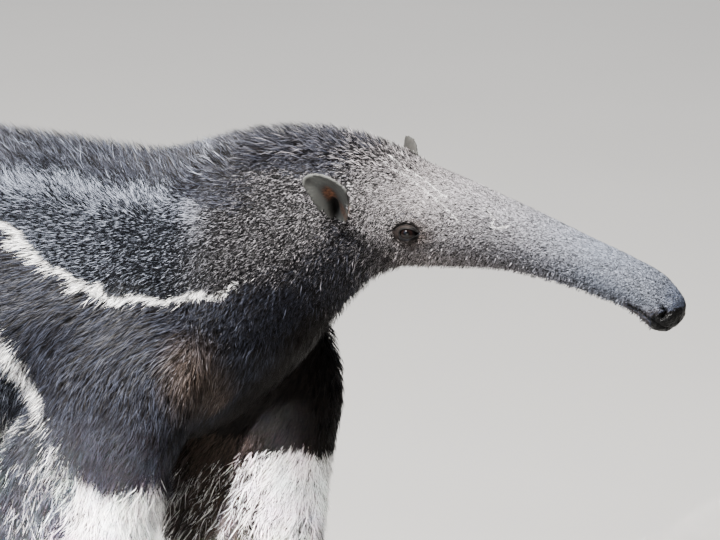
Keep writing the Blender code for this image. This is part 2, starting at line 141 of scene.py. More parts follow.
# Skin: one closed hide over the whole body, from the nose pad to the end of the tail. It is
# taken from the fleshy solids, fused, smoothed and let in by the depth of the coat.
HEAD_TURN = math.radians(7)
HEAD_PIVOT = np.array((0.5527, -0.0035, 0.0))
PIVOT_AHEAD = 0.12
EAR_ROOT = np.array((0.2180, 0.0610, 0.5870))
EAR_UP = {-1: np.array((-0.22, -0.42, 0.87)), 1: np.array((-0.12, 0.30, 0.95))}
EAR_OPENS = {-1: np.array((0.30, -0.94, -0.05)), 1: np.array((0.72, 0.69, 0.05))}
EAR_CUP = {-1: 1.0, 1: 0.6}
EAR_THICK = 0.0026
EAR_LEAN = (0.384, 0.566)
EAR_FRONT = [(-7, -19), (4.0, -17), (9.5, -10.0), (14.0, -1.8), (18.2, 8.4), (19.6, 17.9), (17.5, 26.1), (13.0, 33.9),
             (8.0, 39.8), (2.0, 44.6), (-4.2, 47.5)]
EAR_REAR = [(-7, -19), (-10.5, -14.3), (-13.6, -8.3), (-16.2, 0.1), (-17.1, 10.6), (-18.0, 20.0), (-18.8, 29.0),
            (-19.2, 37.0), (-17.5, 42.9), (-12.6, 47.0), (-4.2, 47.5)]
BALL = 0.0105
EYE_ROOT = np.array((0.2835, 0.0355, 0.5645))
HEAD_VOXEL, BODY_VOXEL, FINE_VOXEL = 0.0034, 0.0076, 0.0019
NECK_CUT = 0.58
CLAWS = [n for n in nodes if "claw" in n]
EYES = ["left_eye", "right_eye"]
EARS = ["left_ear", "right_ear"]
FLESH = [n for n in nodes if n not in CLAWS + EYES]


def into_head(points):
    """Points of the room, seen in the head's own frame, where it looks straight ahead."""
    c, s = math.cos(HEAD_TURN), math.sin(HEAD_TURN)
    d = points - HEAD_PIVOT
    return np.column_stack(
        (PIVOT_AHEAD + d[:, 0] * c - d[:, 1] * s, d[:, 0] * s + d[:, 1] * c, d[:, 2])
    )


def out_of_head(points):
    c, s = math.cos(HEAD_TURN), math.sin(HEAD_TURN)
    x, y = points[:, 0] - PIVOT_AHEAD, points[:, 1]
    return np.column_stack((x * c + y * s, -x * s + y * c, points[:, 2])) + HEAD_PIVOT


def turned_out(ways):
    c, s = math.cos(HEAD_TURN), math.sin(HEAD_TURN)
    return np.column_stack(
        (ways[:, 0] * c + ways[:, 1] * s, -ways[:, 0] * s + ways[:, 1] * c, ways[:, 2])
    )


def read_points(mesh, what="co"):
    values = np.zeros(len(mesh.vertices) * 3)
    mesh.vertices.foreach_get(what, values)
    return values.reshape(-1, 3)


def write_points(mesh, points):
    mesh.vertices.foreach_set("co", points.ravel())
    mesh.update()


def relax(mesh, rounds):
    """Evens out a mesh without shrinking it."""
    ends = np.zeros(len(mesh.edges) * 2, int)
    mesh.edges.foreach_get("vertices", ends)
    a, b = ends[::2], ends[1::2]
    points = read_points(mesh)
    count = len(points)
    links = np.maximum(np.bincount(a, minlength=count) + np.bincount(b, minlength=count), 1)
    for _ in range(rounds):
        for push in (0.5, -0.52):
            mean = np.column_stack(
                [
                    np.bincount(a, points[b, i], count) + np.bincount(b, points[a, i], count)
                    for i in range(3)
                ]
            )
            points = points + push * (mean / links[:, None] - points)
    write_points(mesh, points)


def through(mesh, kind, **settings):
    """A mesh after one modifier."""
    holder = bpy.data.objects.new("holder", mesh)
    bpy.context.scene.collection.objects.link(holder)
    modifier = holder.modifiers.new("one", kind)
    for key, value in settings.items():
        setattr(modifier, key, value)
    graph = bpy.context.evaluated_depsgraph_get()
    result = bpy.data.meshes.new_from_object(holder.evaluated_get(graph))
    bpy.data.objects.remove(holder)
    return result


def joined_copy(names, grow=0.0008):
    """Merged copies of solids, each grown a little so that neighbours run into each other."""
    together = bmesh.new()
    for name in names:
        single = bmesh.new()
        single.from_mesh(nodes[name].data)
        bmesh.ops.remove_doubles(single, verts=single.verts, dist=1e-5)
        single.normal_update()
        for vert in single.verts:
            vert.co += vert.normal * grow
        spare = bpy.data.meshes.new("spare")
        single.to_mesh(spare)
        single.free()
        together.from_mesh(spare)
    joined = bpy.data.meshes.new("joined")
    together.to_mesh(joined)
    together.free()
    return joined


def smooth_step(low, high, value):
    t = np.clip((value - low) / (high - low), 0, 1)
    return t * t * (3 - 2 * t)


def coat_depth(points):
    """How far the hide lies under the tips of the coat."""
    along = np.interp(
        points[:, 0],
        [-0.98, -0.88, -0.74, -0.58, -0.42, -0.29, -0.2, -0.02, 0.25, 0.42, 0.51, 0.555, 0.6,
         0.64, 0.68, 0.72, 0.83, 0.95, 0.98],
        [0.008, 0.014, 0.027, 0.038, 0.036, 0.025, 0.019, 0.017, 0.015, 0.012, 0.009, 0.007,
         0.0055, 0.0036, 0.0024, 0.0013, 0.0009, 0.0005, 0.0001],
    )
    leg = np.interp(
        points[:, 2],
        [0, 0.03, 0.08, 0.15, 0.25, 0.33, 0.38, 0.45],
        [0.0006, 0.0015, 0.003, 0.0045, 0.007, 0.010, 0.015, 0.06],
    )
    return np.where(points[:, 0] > -0.30, np.minimum(along, leg), along)


def let_in(mesh, depths):
    write_points(mesh, read_points(mesh) - read_points(mesh, "normal") * depths[:, None])


def ear_frame(side):
    """The root, upward, opening and forward ways of an ear, in the head's frame."""
    up = EAR_UP[side] / np.linalg.norm(EAR_UP[side])
    opens = EAR_OPENS[side] - up * EAR_OPENS[side].dot(up)
    opens /= np.linalg.norm(opens)
    ahead = np.cross(opens, up)
    return EAR_ROOT * (1, side, 1), up, opens, ahead * (1 if ahead[0] > 0 else -1)


def ear_edge(line, share):
    steps = np.linspace(0, 1, len(line))
    return np.interp(share, steps, [a for a, _ in line]), np.interp(share, steps, [b for _, b in line])


def ear_leaf(side):
    """A thin cupped leaf that opens outwards, with its front edge rolled over like a wall."""
    root, up, opens, ahead = ear_frame(side)
    leaf = bmesh.new()
    bmesh.ops.create_grid(leaf, x_segments=40, y_segments=34, size=0.5)
    rim = []
    for vert in leaf.verts:
        across, along = vert.co.x + 0.5, vert.co.y + 0.5
        front, rear = ear_edge(EAR_FRONT, along), ear_edge(EAR_REAR, along)
        fore = rear[0] + (front[0] - rear[0]) * across
        tall = rear[1] + (front[1] - rear[1]) * across
        wide = np.hypot(front[0] - rear[0], front[1] - rear[1])
        cup = (abs(across - 0.46) / 0.5) ** 2.2 * 0.22 * wide + 2.5 * along
        wall = smooth_step(0.80, 1.0, across) * 5.0 * (1 - along**3)
        deep = (cup + wall) * EAR_CUP[side] + 2.0 - 2.5 * (1 - along)
        fore, tall = fore + (deep - 6) * EAR_LEAN[0], tall + (deep - 6) * EAR_LEAN[1]
        place = root + (ahead * fore + up * tall + opens * deep) / 1000
        vert.co = place
        if across < 0.01 or across > 0.99 or along > 0.99:
            rim.append(place + opens * EAR_THICK / 2)
    bmesh.ops.remove_doubles(leaf, verts=leaf.verts, dist=2e-5)
    bmesh.ops.recalc_face_normals(leaf, faces=leaf.faces)
    bmesh.ops.solidify(leaf, geom=list(leaf.faces), thickness=EAR_THICK)
    bmesh.ops.recalc_face_normals(leaf, faces=leaf.faces)
    mesh = bpy.data.meshes.new("ear")
    leaf.to_mesh(mesh)
    leaf.free()
    write_points(mesh, out_of_head(read_points(mesh)))
    return mesh, np.array(rim)


head_raw = joined_copy(["nose", "snout", "lower_jaw", "head", "neck", "chest"] + EYES)
head_mesh = through(head_raw, "REMESH", mode="VOXEL", voxel_size=HEAD_VOXEL)
relax(head_mesh, 14)
full_tip = 0.0034 * smooth_step(0.925, 0.975, read_points(head_mesh)[:, 0])
let_in(head_mesh, coat_depth(read_points(head_mesh)) + 0.0004 - full_tip)
relax(head_mesh, 3)
head_mesh = through(head_mesh, "SUBSURF", levels=1, render_levels=1)
head_bm = bmesh.new()
head_bm.from_mesh(head_mesh)
bmesh.ops.bisect_plane(
    head_bm,
    geom=head_bm.verts[:] + head_bm.edges[:] + head_bm.faces[:],
    plane_co=(NECK_CUT - 0.05, 0, 0),
    plane_no=(1, 0, 0),
    clear_inner=True,
)
bmesh.ops.holes_fill(head_bm, edges=head_bm.edges[:], sides=0)
ear_rims = {}
for side in (-1, 1):
    ear_mesh, ear_rims[side] = ear_leaf(side)
    head_bm.from_mesh(ear_mesh)
head_bm.to_mesh(head_mesh)
head_bm.free()
head_mesh = through(head_mesh, "REMESH", mode="VOXEL", voxel_size=FINE_VOXEL)
relax(head_mesh, 3)

body_raw = joined_copy([n for n in FLESH if n not in EARS])
body_mesh = through(body_raw, "REMESH", mode="VOXEL", voxel_size=BODY_VOXEL)
relax(body_mesh, 7)
let_in(body_mesh, coat_depth(read_points(body_mesh)) + 0.0006)
relax(body_mesh, 4)
body_points = read_points(body_mesh)
body_points[:, 2] = np.maximum(body_points[:, 2], 0.0004)
write_points(body_mesh, body_points)


# Folds of the head: the nostrils, the slit of the mouth, the line of the cheek, the brow and
# the ear's canal are pressed into the hide, in the head's own frame and alike on both sides.
def line_gap(points, line):
    """The distance from each point to a line through named places."""
    best = np.full(len(points), 9.0)
    places = np.array(line, float)
    for start, end in zip(places[:-1], places[1:]):
        way = end - start
        t = np.clip((points - start) @ way / (way @ way), 0, 1)
        best = np.minimum(best, np.linalg.norm(points - start - t[:, None] * way, axis=1))
    return best


MOUTH = [
    (0.512, 0.0178, 0.5222), (0.5267, 0.0172, 0.5185), (0.5357, 0.0162, 0.5130),
    (0.5440, 0.0140, 0.5065), (0.5510, 0.0070, 0.5015), (0.5530, 0.0, 0.5000),
]
NOSTRIL = [(0.5495, 0.0120, 0.5235), (0.5525, 0.0110, 0.5215), (0.5530, 0.0110, 0.5175), (0.5500, 0.0120, 0.5150)]
WING = [(0.5460, 0.0130, 0.5215), (0.5480, 0.0130, 0.5180), (0.5470, 0.0130, 0.5150)]
CHEEK = [(0.2100, 0.0600, 0.5640), (0.2227, 0.0540, 0.5565), (0.2354, 0.0468, 0.5476),
         (0.2509, 0.0351, 0.5371), (0.2615, 0.0153, 0.5251), (0.2640, 0.0, 0.5230)]
WRINKLES = [
    [(0.312, 0.0385, 0.5660), (0.325, 0.0372, 0.5700), (0.342, 0.0345, 0.5740)],
    [(0.326, 0.0330, 0.5440), (0.345, 0.0325, 0.5480), (0.360, 0.0300, 0.5500)],
    [(0.305, 0.0370, 0.5520), (0.320, 0.0360, 0.5545), (0.338, 0.0340, 0.5550)],
]


def side_gap(local, line):
    """The distance to a line as it is seen from the side of the head."""
    flat = local * (1, 0, 1)
    return line_gap(flat, [(a, 0, c) for a, _, c in line])


def one_sided(points):
    """The head's frame with both sides laid over each other."""
    local = into_head(points)
    local[:, 1] = np.abs(local[:, 1])
    return local


points = read_points(head_mesh)
normals = read_points(head_mesh, "normal")
local = one_sided(points)
sunk = 0.0030 * np.exp(-((side_gap(local, MOUTH) / 0.0010) ** 2))
sunk += 0.0035 * np.exp(-((side_gap(local, CHEEK) / 0.0060) ** 2))
sunk += 0.0060 * np.exp(-((side_gap(local, NOSTRIL) / 0.0017) ** 2)) * (local[:, 1] > 0.004)
sunk -= 0.0010 * np.exp(-((side_gap(local, WING) / 0.0022) ** 2)) * (local[:, 1] > 0.004)
for fold in WRINKLES:
    sunk += 0.0006 * np.exp(-((side_gap(local, fold) / 0.0012) ** 2))
temple = np.linalg.norm((local - (0.252, 0.050, 0.583)) / (0.020, 0.02, 0.016), axis=1)
sunk += 0.0022 * np.exp(-(temple**2))
points = points - normals * sunk[:, None]


def in_ear(points, side):
    """Each point's height, forward and outward place in an ear, in millimetres."""
    root, up, opens, ahead = ear_frame(side)
    d = (into_head(points) - root) * 1000
    return d @ up, d @ ahead, d @ opens


for side in (-1, 1):
    tall, fore, out = in_ear(points, side)
    middle = np.interp(tall, [-11, -2, 7, 17], [-6.5, -2.0, 0.8, 1.5])
    canal = ((tall - 1.5) / 13.0) ** 2 + ((fore - middle) / 4.6) ** 2 + (out / 18) ** 2
    inwards = turned_out(-ear_frame(side)[2][None] + (0.15, 0, 0))
    points = points + inwards * (0.009 * np.exp(-(canal**2)))[:, None]
write_points(head_mesh, points)


# Eyelids: a fine ring of hide around each eye. The upper lid has a deep dark crease, the
# lower one a small pad, and both roll in over the eyeball with a narrow wet edge.
LID_REACH = 0.0240
LID_FACETS = 104
LID_RINGS = 42
GAZE_TURN, GAZE_RISE = math.radians(24), math.radians(12)
OPENING_HALF, OPENING_UP, OPENING_DOWN = 0.0096, 0.0043, 0.0049
OPENING_SHIFT = 0.0007
LID_CREASE = [(-16.0, 2.0), (-13.0, 4.6), (-8.8, 7.4), (-2.2, 9.3), (3.6, 8.0), (7.4, 5.6), (9.2, 3.2)]
LID_LINES = [
    ([(-11.0, 4.2), (-6.5, 6.4), (-1.0, 7.4), (4.5, 6.2)], 0.35, 0.5),
    ([(-10.0, 15.5), (-5.0, 19.0), (0.0, 20.0), (6.0, 17.6), (11.5, 14.2)], 0.45, 1.3),
    ([(-9.0, -6.0), (-4.0, -8.6), (1.0, -9.2), (6.0, -7.0), (9.5, -4.2)], 0.5, 0.8),
    ([(-8.0, -10.5), (-3.0, -13.2), (2.0, -14.5)], 0.6, 1.3),
    ([(0.0, -21.5), (5.0, -23.0), (11.0, -23.2)], 0.5, 0.8),
    ([(9.8, -0.5), (14.0, -1.6), (20.0, -4.0), (26.0, -5.0)], 0.6, 1.1),
]
LID_SWELLS = [((-1.0, 13.5), (11.0, 3.6), 1.1), ((-2.0, -7.0), (8.0, 2.0), 0.7), ((3.0, -18.0), (9.0, 3.5), 0.8)]


def eye_axes(side):
    """Forward, up and outward ways of an eye, in the head's frame."""
    out = np.array(
        (
            math.sin(GAZE_TURN) * math.cos(GAZE_RISE),
            side * math.cos(GAZE_TURN) * math.cos(GAZE_RISE),
            math.sin(GAZE_RISE),
        )
    )
    ahead = np.array((math.cos(GAZE_TURN), -side * math.sin(GAZE_TURN), 0))
    up = np.cross(ahead, out) * -side
    return ahead, up * (1 if up[2] > 0 else -1), out


def eye_plane(points, side):
    """Each point's place ahead of, above and out from an eye, in metres."""
    ahead, up, out = eye_axes(side)
    d = into_head(points) - EYE_ROOT * (1, side, 1)
    return d @ ahead, d @ up, d @ out


def flat_gap(p, q, line):
    """The distance in millimetres from places on the eye's plane to a line on it."""
    flat = np.column_stack((p, q, np.zeros(len(p)))) * 1000
    return line_gap(flat, [(a, b, 0) for a, b in line])


def opening_edge(turn):
    """The edge of the opening, rounded behind and drawn out to a point in front."""
    c, s = np.cos(turn), np.sin(turn)
    tall = np.where(s > 0, OPENING_UP, OPENING_DOWN)
    lean = 1 - 0.28 * c
    ahead = OPENING_HALF * c + OPENING_SHIFT
    return ahead, tall * np.sign(s) * np.abs(s) ** np.where(c > 0, 1.55, 1.05) * lean - 0.0002


def ball_height(p, q, radius):
    return np.sqrt(np.maximum(radius**2 - p**2 - q**2, (0.35 * radius) ** 2))


def add_lids(skin, side, tree):
    ahead, up, out = eye_axes(side)
    middle = EYE_ROOT * (1, side, 1)

    def place(p, q, height):
        flat = middle + p[:, None] * ahead + q[:, None] * up + height[:, None] * out
        return out_of_head(flat)

    def hide_height(p, q):
        starts = place(p, q, np.full(len(p), 0.05))
        way = Vector(turned_out(-out[None])[0])
        reach = [tree.ray_cast(Vector(s), way)[3] or 0.05 for s in starts]
        return 0.05 - np.array(reach)

    centres = np.array([f.calc_center_median() for f in skin.faces])
    p, q, height = eye_plane(centres, side)
    near = (np.hypot(p, q) < LID_REACH) & (height > -0.012)
    doomed = [f for f, gone in zip(skin.faces, near) if gone]
    rim = {e for f in doomed for e in f.edges if any(g not in set(doomed) for g in e.link_faces)} \
        if len(doomed) < 50 else None
    if rim is None:
        marked = set(doomed)
        rim = {e for f in doomed for e in f.edges if sum(g in marked for g in e.link_faces) == 1}
    bmesh.ops.delete(skin, geom=doomed, context="FACES")
    rim = [e for e in rim if e.is_valid]
    turn_layer = skin.verts.layers.float.get("turn") or skin.verts.layers.float.new("turn")
    made = bmesh.ops.create_circle(skin, cap_ends=False, segments=LID_FACETS, radius=0.02)
    ring = made["verts"]
    for vert in ring:
        vert[turn_layer] = math.atan2(vert.co.y, vert.co.x)
    ring_edges = list({e for v in ring for e in v.link_edges})
    inner = LID_REACH - 0.0016

    def settle(verts, share, tuck=0.0, drop=0.0):
        turn = np.array([v[turn_layer] for v in verts])
        edge_p, edge_q = opening_edge(turn)
        wide_p, wide_q = inner * np.cos(turn), inner * np.sin(turn)
        p = wide_p + (edge_p - wide_p) * share
        q = wide_q + (edge_q - wide_q) * share
        p = p * (1 - tuck) + OPENING_SHIFT * tuck
        q = q * (1 - tuck)
        hide = hide_height(p, q)
        off_edge = np.hypot(p - edge_p, q - edge_q)
        lid = ball_height(p, q, BALL + 0.0011)
        hug = 1 - smooth_step(0.0004, 0.0060, off_edge)
        height = hide + (lid - hide) * hug
        cover = 1 - smooth_step(0.0085, 0.0150, np.hypot(p, q))
        height = np.maximum(height, hide + (np.maximum(lid, hide) - hide) * cover * 0.9)
        fold = 1.25 * np.exp(-((flat_gap(p, q, LID_CREASE) / 0.62) ** 2))
        for line, deep, wide in LID_LINES:
            fold += deep * np.exp(-((flat_gap(p, q, line) / wide) ** 2))
        for (at_p, at_q), (wide_a, wide_b), tall in LID_SWELLS:
            spread = ((p * 1000 - at_p) / wide_a) ** 2 + ((q * 1000 - at_q) / wide_b) ** 2
            fold -= tall * np.exp(-spread)
        fade = smooth_step(0.0, 0.12, share) if share < 0.12 else 1.0
        height = height - fold / 1000 * fade - drop
        if tuck:
            height = np.minimum(height, ball_height(p, q, BALL + 0.0011) - drop + 0.0016)
        for vert, co in zip(verts, place(p, q, height)):
            vert.co = co

    settle(ring, 0.0)
    bmesh.ops.bridge_loops(skin, edges=rim + ring_edges)
    steps = [((k / LID_RINGS) ** 0.85, 0.0, 0.0) for k in range(1, LID_RINGS + 1)]
    steps += [(1.0, 0.035, 0.0002), (1.0, 0.06, 0.0009), (1.0, 0.07, 0.0022), (1.0, 0.12, 0.0040)]
    for share, tuck, drop in steps:
        grown = bmesh.ops.extrude_edge_only(skin, edges=ring_edges)["geom"]
        ring = [g for g in grown if isinstance(g, bmesh.types.BMVert)]
        ring_edges = [
            g for g in grown if isinstance(g, bmesh.types.BMEdge) and len(g.link_faces) == 1
        ]
        settle(ring, share, tuck, drop)
    bmesh.ops.edgeloop_fill(skin, edges=ring_edges)


def cut_half(mesh, keep_front):
    half = bmesh.new()
    half.from_mesh(mesh)
    bmesh.ops.bisect_plane(
        half,
        geom=half.verts[:] + half.edges[:] + half.faces[:],
        plane_co=(NECK_CUT + (0.002 if keep_front else -0.002), 0, 0),
        plane_no=(1, 0, 0),
        clear_inner=keep_front,
        clear_outer=not keep_front,
    )
    return half


skin_bm = cut_half(head_mesh, True)
head_rim = [e for e in skin_bm.edges if len(e.link_faces) == 1]
skin_bm.normal_update()
head_tree = BVHTree.FromBMesh(skin_bm)
body_bm = cut_half(body_mesh, False)
body_half = bpy.data.meshes.new("body_half")
body_bm.to_mesh(body_half)
body_bm.free()
skin_bm.from_mesh(body_half)
neck_rims = [e for e in skin_bm.edges if len(e.link_faces) == 1]
bmesh.ops.bridge_loops(skin_bm, edges=neck_rims)
for side in (-1, 1):
    add_lids(skin_bm, side, head_tree)
bmesh.ops.recalc_face_normals(skin_bm, faces=skin_bm.faces)
skin_mesh = bpy.data.meshes.new("skin")
skin_bm.to_mesh(skin_mesh)
skin_bm.free()
for polygon in skin_mesh.polygons:
    polygon.use_smooth = True


# Markings: a black wedge from the throat over the shoulder, edged with white, white forelegs,
# a dark nape and back, and a pale face, with painted light and shade added in places. The hide
# and every hair take them from here.
STRIPE = [(-0.06, 0.583), (0.05, 0.580), (0.15, 0.568), (0.24, 0.552), (0.29, 0.5374),
          (0.3388, 0.5165), (0.3868, 0.4945), (0.4303, 0.4835), (0.471, 0.4830), (0.4998, 0.4905),
          (0.527, 0.4975), (0.5589, 0.5030)]
REAR_EDGE = [(-0.06, 0.575), (0.02, 0.560), (0.10, 0.532), (0.20, 0.490), (0.27, 0.455),
             (0.3019, 0.4520), (0.3188, 0.4200), (0.3377, 0.3900), (0.3559, 0.364), (0.3752, 0.3364)]
NEAR_LEG_TOP = [(0.34, 0.36), (0.3752, 0.3330), (0.3971, 0.3150), (0.4165, 0.3010), (0.4346, 0.2990),
                (0.4522, 0.3050), (0.4644, 0.3060)]
FAR_LEG_TOP = [(0.40, 0.285), (0.4259, 0.2720), (0.475, 0.2900), (0.5276, 0.3070), (0.5458, 0.3090),
               (0.5634, 0.2960)]
THROAT = [(0.5589, 0.500), (0.600, 0.520), (0.6481, 0.5520), (0.6783, 0.5330), (0.70, 0.52), (0.99, 0.49)]
SCRATCHES = [
    [(0.2461, -0.0205, 0.6296), (0.2640, -0.0245, 0.6210), (0.2752, -0.0235, 0.6195), (0.3085, -0.0300, 0.6035),
     (0.3376, -0.0330, 0.5860)],
    [(0.2491, -0.0120, 0.6310), (0.2693, -0.0175, 0.6235), (0.2926, -0.0210, 0.6140), (0.318, -0.0262, 0.6015)],
    [(0.3085, -0.0300, 0.6035), (0.3200, -0.0245, 0.6040)],
    [(0.362, -0.0210, 0.5950), (0.372, -0.0245, 0.5905), (0.371, -0.0280, 0.5850), (0.380, -0.0265, 0.5860),
     (0.388, -0.0240, 0.5880)],
]
WAVES = np.random.default_rng(11).normal(size=(24, 3))
WAVE_STARTS = np.random.default_rng(12).uniform(0, 6.28, 24)


def ripple(points, size, first=0):
    """A soft uneven pattern from about -1 to 1, with patches of about that size."""
    total = np.zeros(len(points))
    for k in range(first, first + 6):
        total += np.sin(points @ (WAVES[k % 24] * 2.6 / size) + WAVE_STARTS[k % 24])
    return total / 3


def level(x, line):
    return np.interp(x, [a for a, _ in line], [b for _, b in line])


def flat_line_gap(x, z, line):
    flat = np.column_stack((x, z, np.zeros(len(x))))
    return line_gap(flat, [(a, b, 0) for a, b in line])


def leg_height(points):
    """How far each point is above (+) or below (-) the top of its foreleg's white."""
    x, y, z = points.T
    near = level(x, NEAR_LEG_TOP) - 0.02 * smooth_step(-0.10, -0.07, y)
    return np.where(y < -0.045, z - near, z - level(x, FAR_LEG_TOP))


def scratch_gap(points):
    """The distance to the nearest old scratch on the forehead, as seen from above."""
    seen = into_head(points)
    gaps = [line_gap(seen * (1, 1, 0), [(a, b, 0) for a, b, _ in scratch]) for scratch in SCRATCHES]
    return np.where(seen[:, 2] > 0.570, np.minimum.reduce(gaps), 9.0)


def marks(points):
    """White, dark, warm and pale shares of the coat at each point, with painted light and shade in places."""
    wobble = ripple(points, 0.03) * 0.004 + ripple(points, 0.012, 6) * 0.0025
    x, y, z = points.T
    z = z + wobble
    local = one_sided(points)
    stripe_z, rear_z = level(x, STRIPE), level(x, REAR_EDGE)
    under = smooth_step(-0.002, 0.008, stripe_z - z)
    over = np.where(x < 0.3752, smooth_step(-0.004, 0.006, z - rear_z), 1.0)
    wedge = under * over * smooth_step(-0.05, 0.0, x) * (1 - smooth_step(0.58, 0.68, x))
    throat = smooth_step(-0.022, 0.024, level(x, THROAT) - z) * smooth_step(0.53, 0.60, x)
    throat *= (1 - smooth_step(0.72, 0.80, x)) * (1 - 0.60 * smooth_step(0.63, 0.66, x))
    leg = np.where((x > 0.24) & (z < 0.37), smooth_step(-0.004, 0.005, -leg_height(points)), 0)
    behind = 1 - smooth_step(0.376, 0.406, x + 0.25 * (0.27 - z))
    behind = behind * (y < -0.04) * smooth_step(0.10, 0.18, z) * (z < 0.37) * (x > 0.2)
    flecks = ripple(points, 0.0035, 14) + 0.35 * ripple(points, 0.04, 9)
    leg = leg * (1 - behind * (1 - 0.9 * smooth_step(0.62, 0.90, flecks)))
    # Painted shadow of the near leg and chest on the inner side of the far foreleg: less white there, and darker and
    # browner.
    inner = (y > 0) * (1 - smooth_step(0.060, 0.085, y)) * (1 - smooth_step(0.470, 0.530, x)) * (z < 0.32) * (x > 0.25)
    leg = leg * (1 - 0.84 * inner)
    dark = np.maximum(wedge, throat * 0.8)
    stripe = 1 - smooth_step(0.0006, np.where(y > 0, 0.009, 0.0042), flat_line_gap(x, z, STRIPE))
    stripe *= smooth_step(-0.06, 0.05, x) * (1 - smooth_step(0.495, 0.565, x))
    rear = 1 - smooth_step(0.004, 0.013, flat_line_gap(x, z + 0.006, REAR_EDGE))
    rear *= smooth_step(-0.04, 0.06, x) * (0.8 - 0.35 * behind)
    low_end = (1 - smooth_step(0.335, 0.385, z)) * (x > 0.3)
    rear *= 1 - low_end * (1 - smooth_step(0.45, 0.75, flecks))
    white = np.maximum(np.maximum(stripe, rear * 0.9), leg)
    wrist = smooth_step(0.030, 0.045, z) * (1 - smooth_step(0.075, 0.095, z)) * (x > 0.3)
    toes = (1 - smooth_step(0.010, 0.022, z)) * (x > 0.3)
    white = white * (1 - np.maximum(wrist, toes * 0.8))
    dark = np.maximum(dark * (1 - white), np.maximum(wrist, toes * 0.8) * (x > 0.3))
    # Real dark speckle behind the near leg, and the painted shadow on the far foreleg's inner side.
    dark = np.maximum(dark, np.maximum(0.85 * behind, 0.78 * inner))
    crest = smooth_step(0.600, 0.614, z) * smooth_step(0.49, 0.53, x) * (1 - smooth_step(0.61, 0.66, x))
    crown = smooth_step(0.633, 0.638, z) * smooth_step(0.58, 0.62, x) * (1 - smooth_step(0.66, 0.70, x))
    dark = np.maximum(dark, np.maximum(0.86 * crest, 0.7 * crown))
    back = smooth_step(0.570, 0.579, z) * (1 - 0.20 * smooth_step(0.592, 0.600, z))
    back *= (1 - smooth_step(0.50, 0.56, x)) * smooth_step(0.0, 0.2, x)
    dark = np.maximum(dark, 0.87 * back)
    hind = smooth_step(0.40, 0.20, z) * (x < 0.12) * (x > -0.26)
    dark = np.maximum(dark, 0.75 * hind)
    belly = smooth_step(0.36, 0.28, z) * (x > -0.2)
    dark = np.maximum(dark * (1 - 0.0 * belly), 0.7 * belly * (1 - leg))
    pale = np.interp(
        x,
        [-0.95, -0.6, -0.3, -0.1, 0.1, 0.3, 0.40, 0.45, 0.5, 0.58, 0.63, 0.67, 0.72, 0.9, 0.97],
        [0.05, 0.05, 0.05, 0.05, 0.08, 0.12, 0.11, 0.02, 0.04, 0.07, 0.12, 0.19, 0.29, 0.28, 0.16],
    )
    streak = np.exp(-(((z - 0.5640) / 0.0095) ** 2)) * (1 - smooth_step(0.47, 0.52, x)) * smooth_step(0.0, 0.2, x)
    swirl = np.exp(-(((x - 0.492) / 0.012) ** 2)) * smooth_step(0.52, 0.56, z)
    pale = pale + 0.24 * streak + 0.16 * swirl + 0.03 * behind
    # Painted light from below: the underside of the face, behind the snout, is made paler.
    under_face = smooth_step(0.010, -0.014, local[:, 2] - np.interp(
        local[:, 0], [0.2, 0.28, 0.35, 0.45, 0.55], [0.556, 0.552, 0.552, 0.540, 0.52]))
    pale = pale + 0.07 * under_face * smooth_step(0.66, 0.72, x)
    # Painted light on the top of the snout, which is made paler.
    painted_top_light = smooth_step(-0.004, 0.008, local[:, 2] - np.interp(
        local[:, 0], [0.28, 0.35, 0.45, 0.55], [0.604, 0.592, 0.567, 0.545]))
    pale = pale + 0.10 * painted_top_light * smooth_step(0.70, 0.76, x)
    # Painted shade on the chest between the forelegs: the pale share is held below about 0.017, which darkens the
    # black hairs there.
    chest_painted_shade = smooth_step(-0.05, -0.02, y) * (1 - smooth_step(0.09, 0.12, y))
    chest_painted_shade *= smooth_step(0.42, 0.45, x) * (1 - smooth_step(0.455, 0.485, z))
    pale = np.minimum(pale, np.where(chest_painted_shade > 0.01, 0.017 * (1 - chest_painted_shade), 1))
    # Painted highlight on the top of the brow, which is made paler.
    brow = np.exp(-(((local[:, 0] - 0.285) / 0.045) ** 2 + ((local[:, 2] - 0.602) / 0.016) ** 2))
    pale = pale + 0.10 * brow * smooth_step(0.60, 0.66, x)
    # Painted shade in the fold of the cheek, just below the cheek line.
    cheek_crease_shade = np.exp(-((side_gap(local, [(a, b, c - 0.001) for a, b, c in CHEEK]) / 0.0042) ** 2))
    dark = np.maximum(dark, 0.85 * cheek_crease_shade * (local[:, 0] > 0.19))
    lips = np.exp(-((side_gap(local, [(a, b, c - 0.003) for a, b, c in MOUTH]) / 0.0060) ** 2))
    pad_side = smooth_step(-0.0075, 0.0010, 0.5190 - local[:, 2] + 0.22 * (local[:, 0] - 0.545))
    pad_side *= smooth_step(0.515, 0.535, local[:, 0])
    dark = np.maximum(dark, 0.92 * np.maximum(lips * (local[:, 0] > 0.47), pad_side))
    # Painted shade in the folds round the eyes.
    spots = eye_cover(points)[1]
    shade = eye_fold_shade(spots)
    dark = np.maximum(dark, shade)
    ring = np.hypot((spots[:, 0] - 0.004) / 0.022, (spots[:, 1] + 0.002) / 0.015)
    halo = np.exp(-(ring**4))
    pale = pale - 0.10 * halo
    white = np.maximum(white, 1 - smooth_step(0.0001, 0.0003, scratch_gap(points)))
    for one in (-1, 1):
        near = np.linalg.norm(into_head(points) - EAR_ROOT * (1, one, 1), axis=1) < 0.075
        tall, fore, out = in_ear(points[near], one)
        own = np.interp(tall, [-12, 0, 12, 34], [0.12, 0.09, 0.09, 0.12]) * (1 + 0.25 * ripple(points[near], 0.006))
        # The far ear's lining is painted darker: painted shade on the far ear.
        own = own * (1.0 if one < 0 else 0.40)
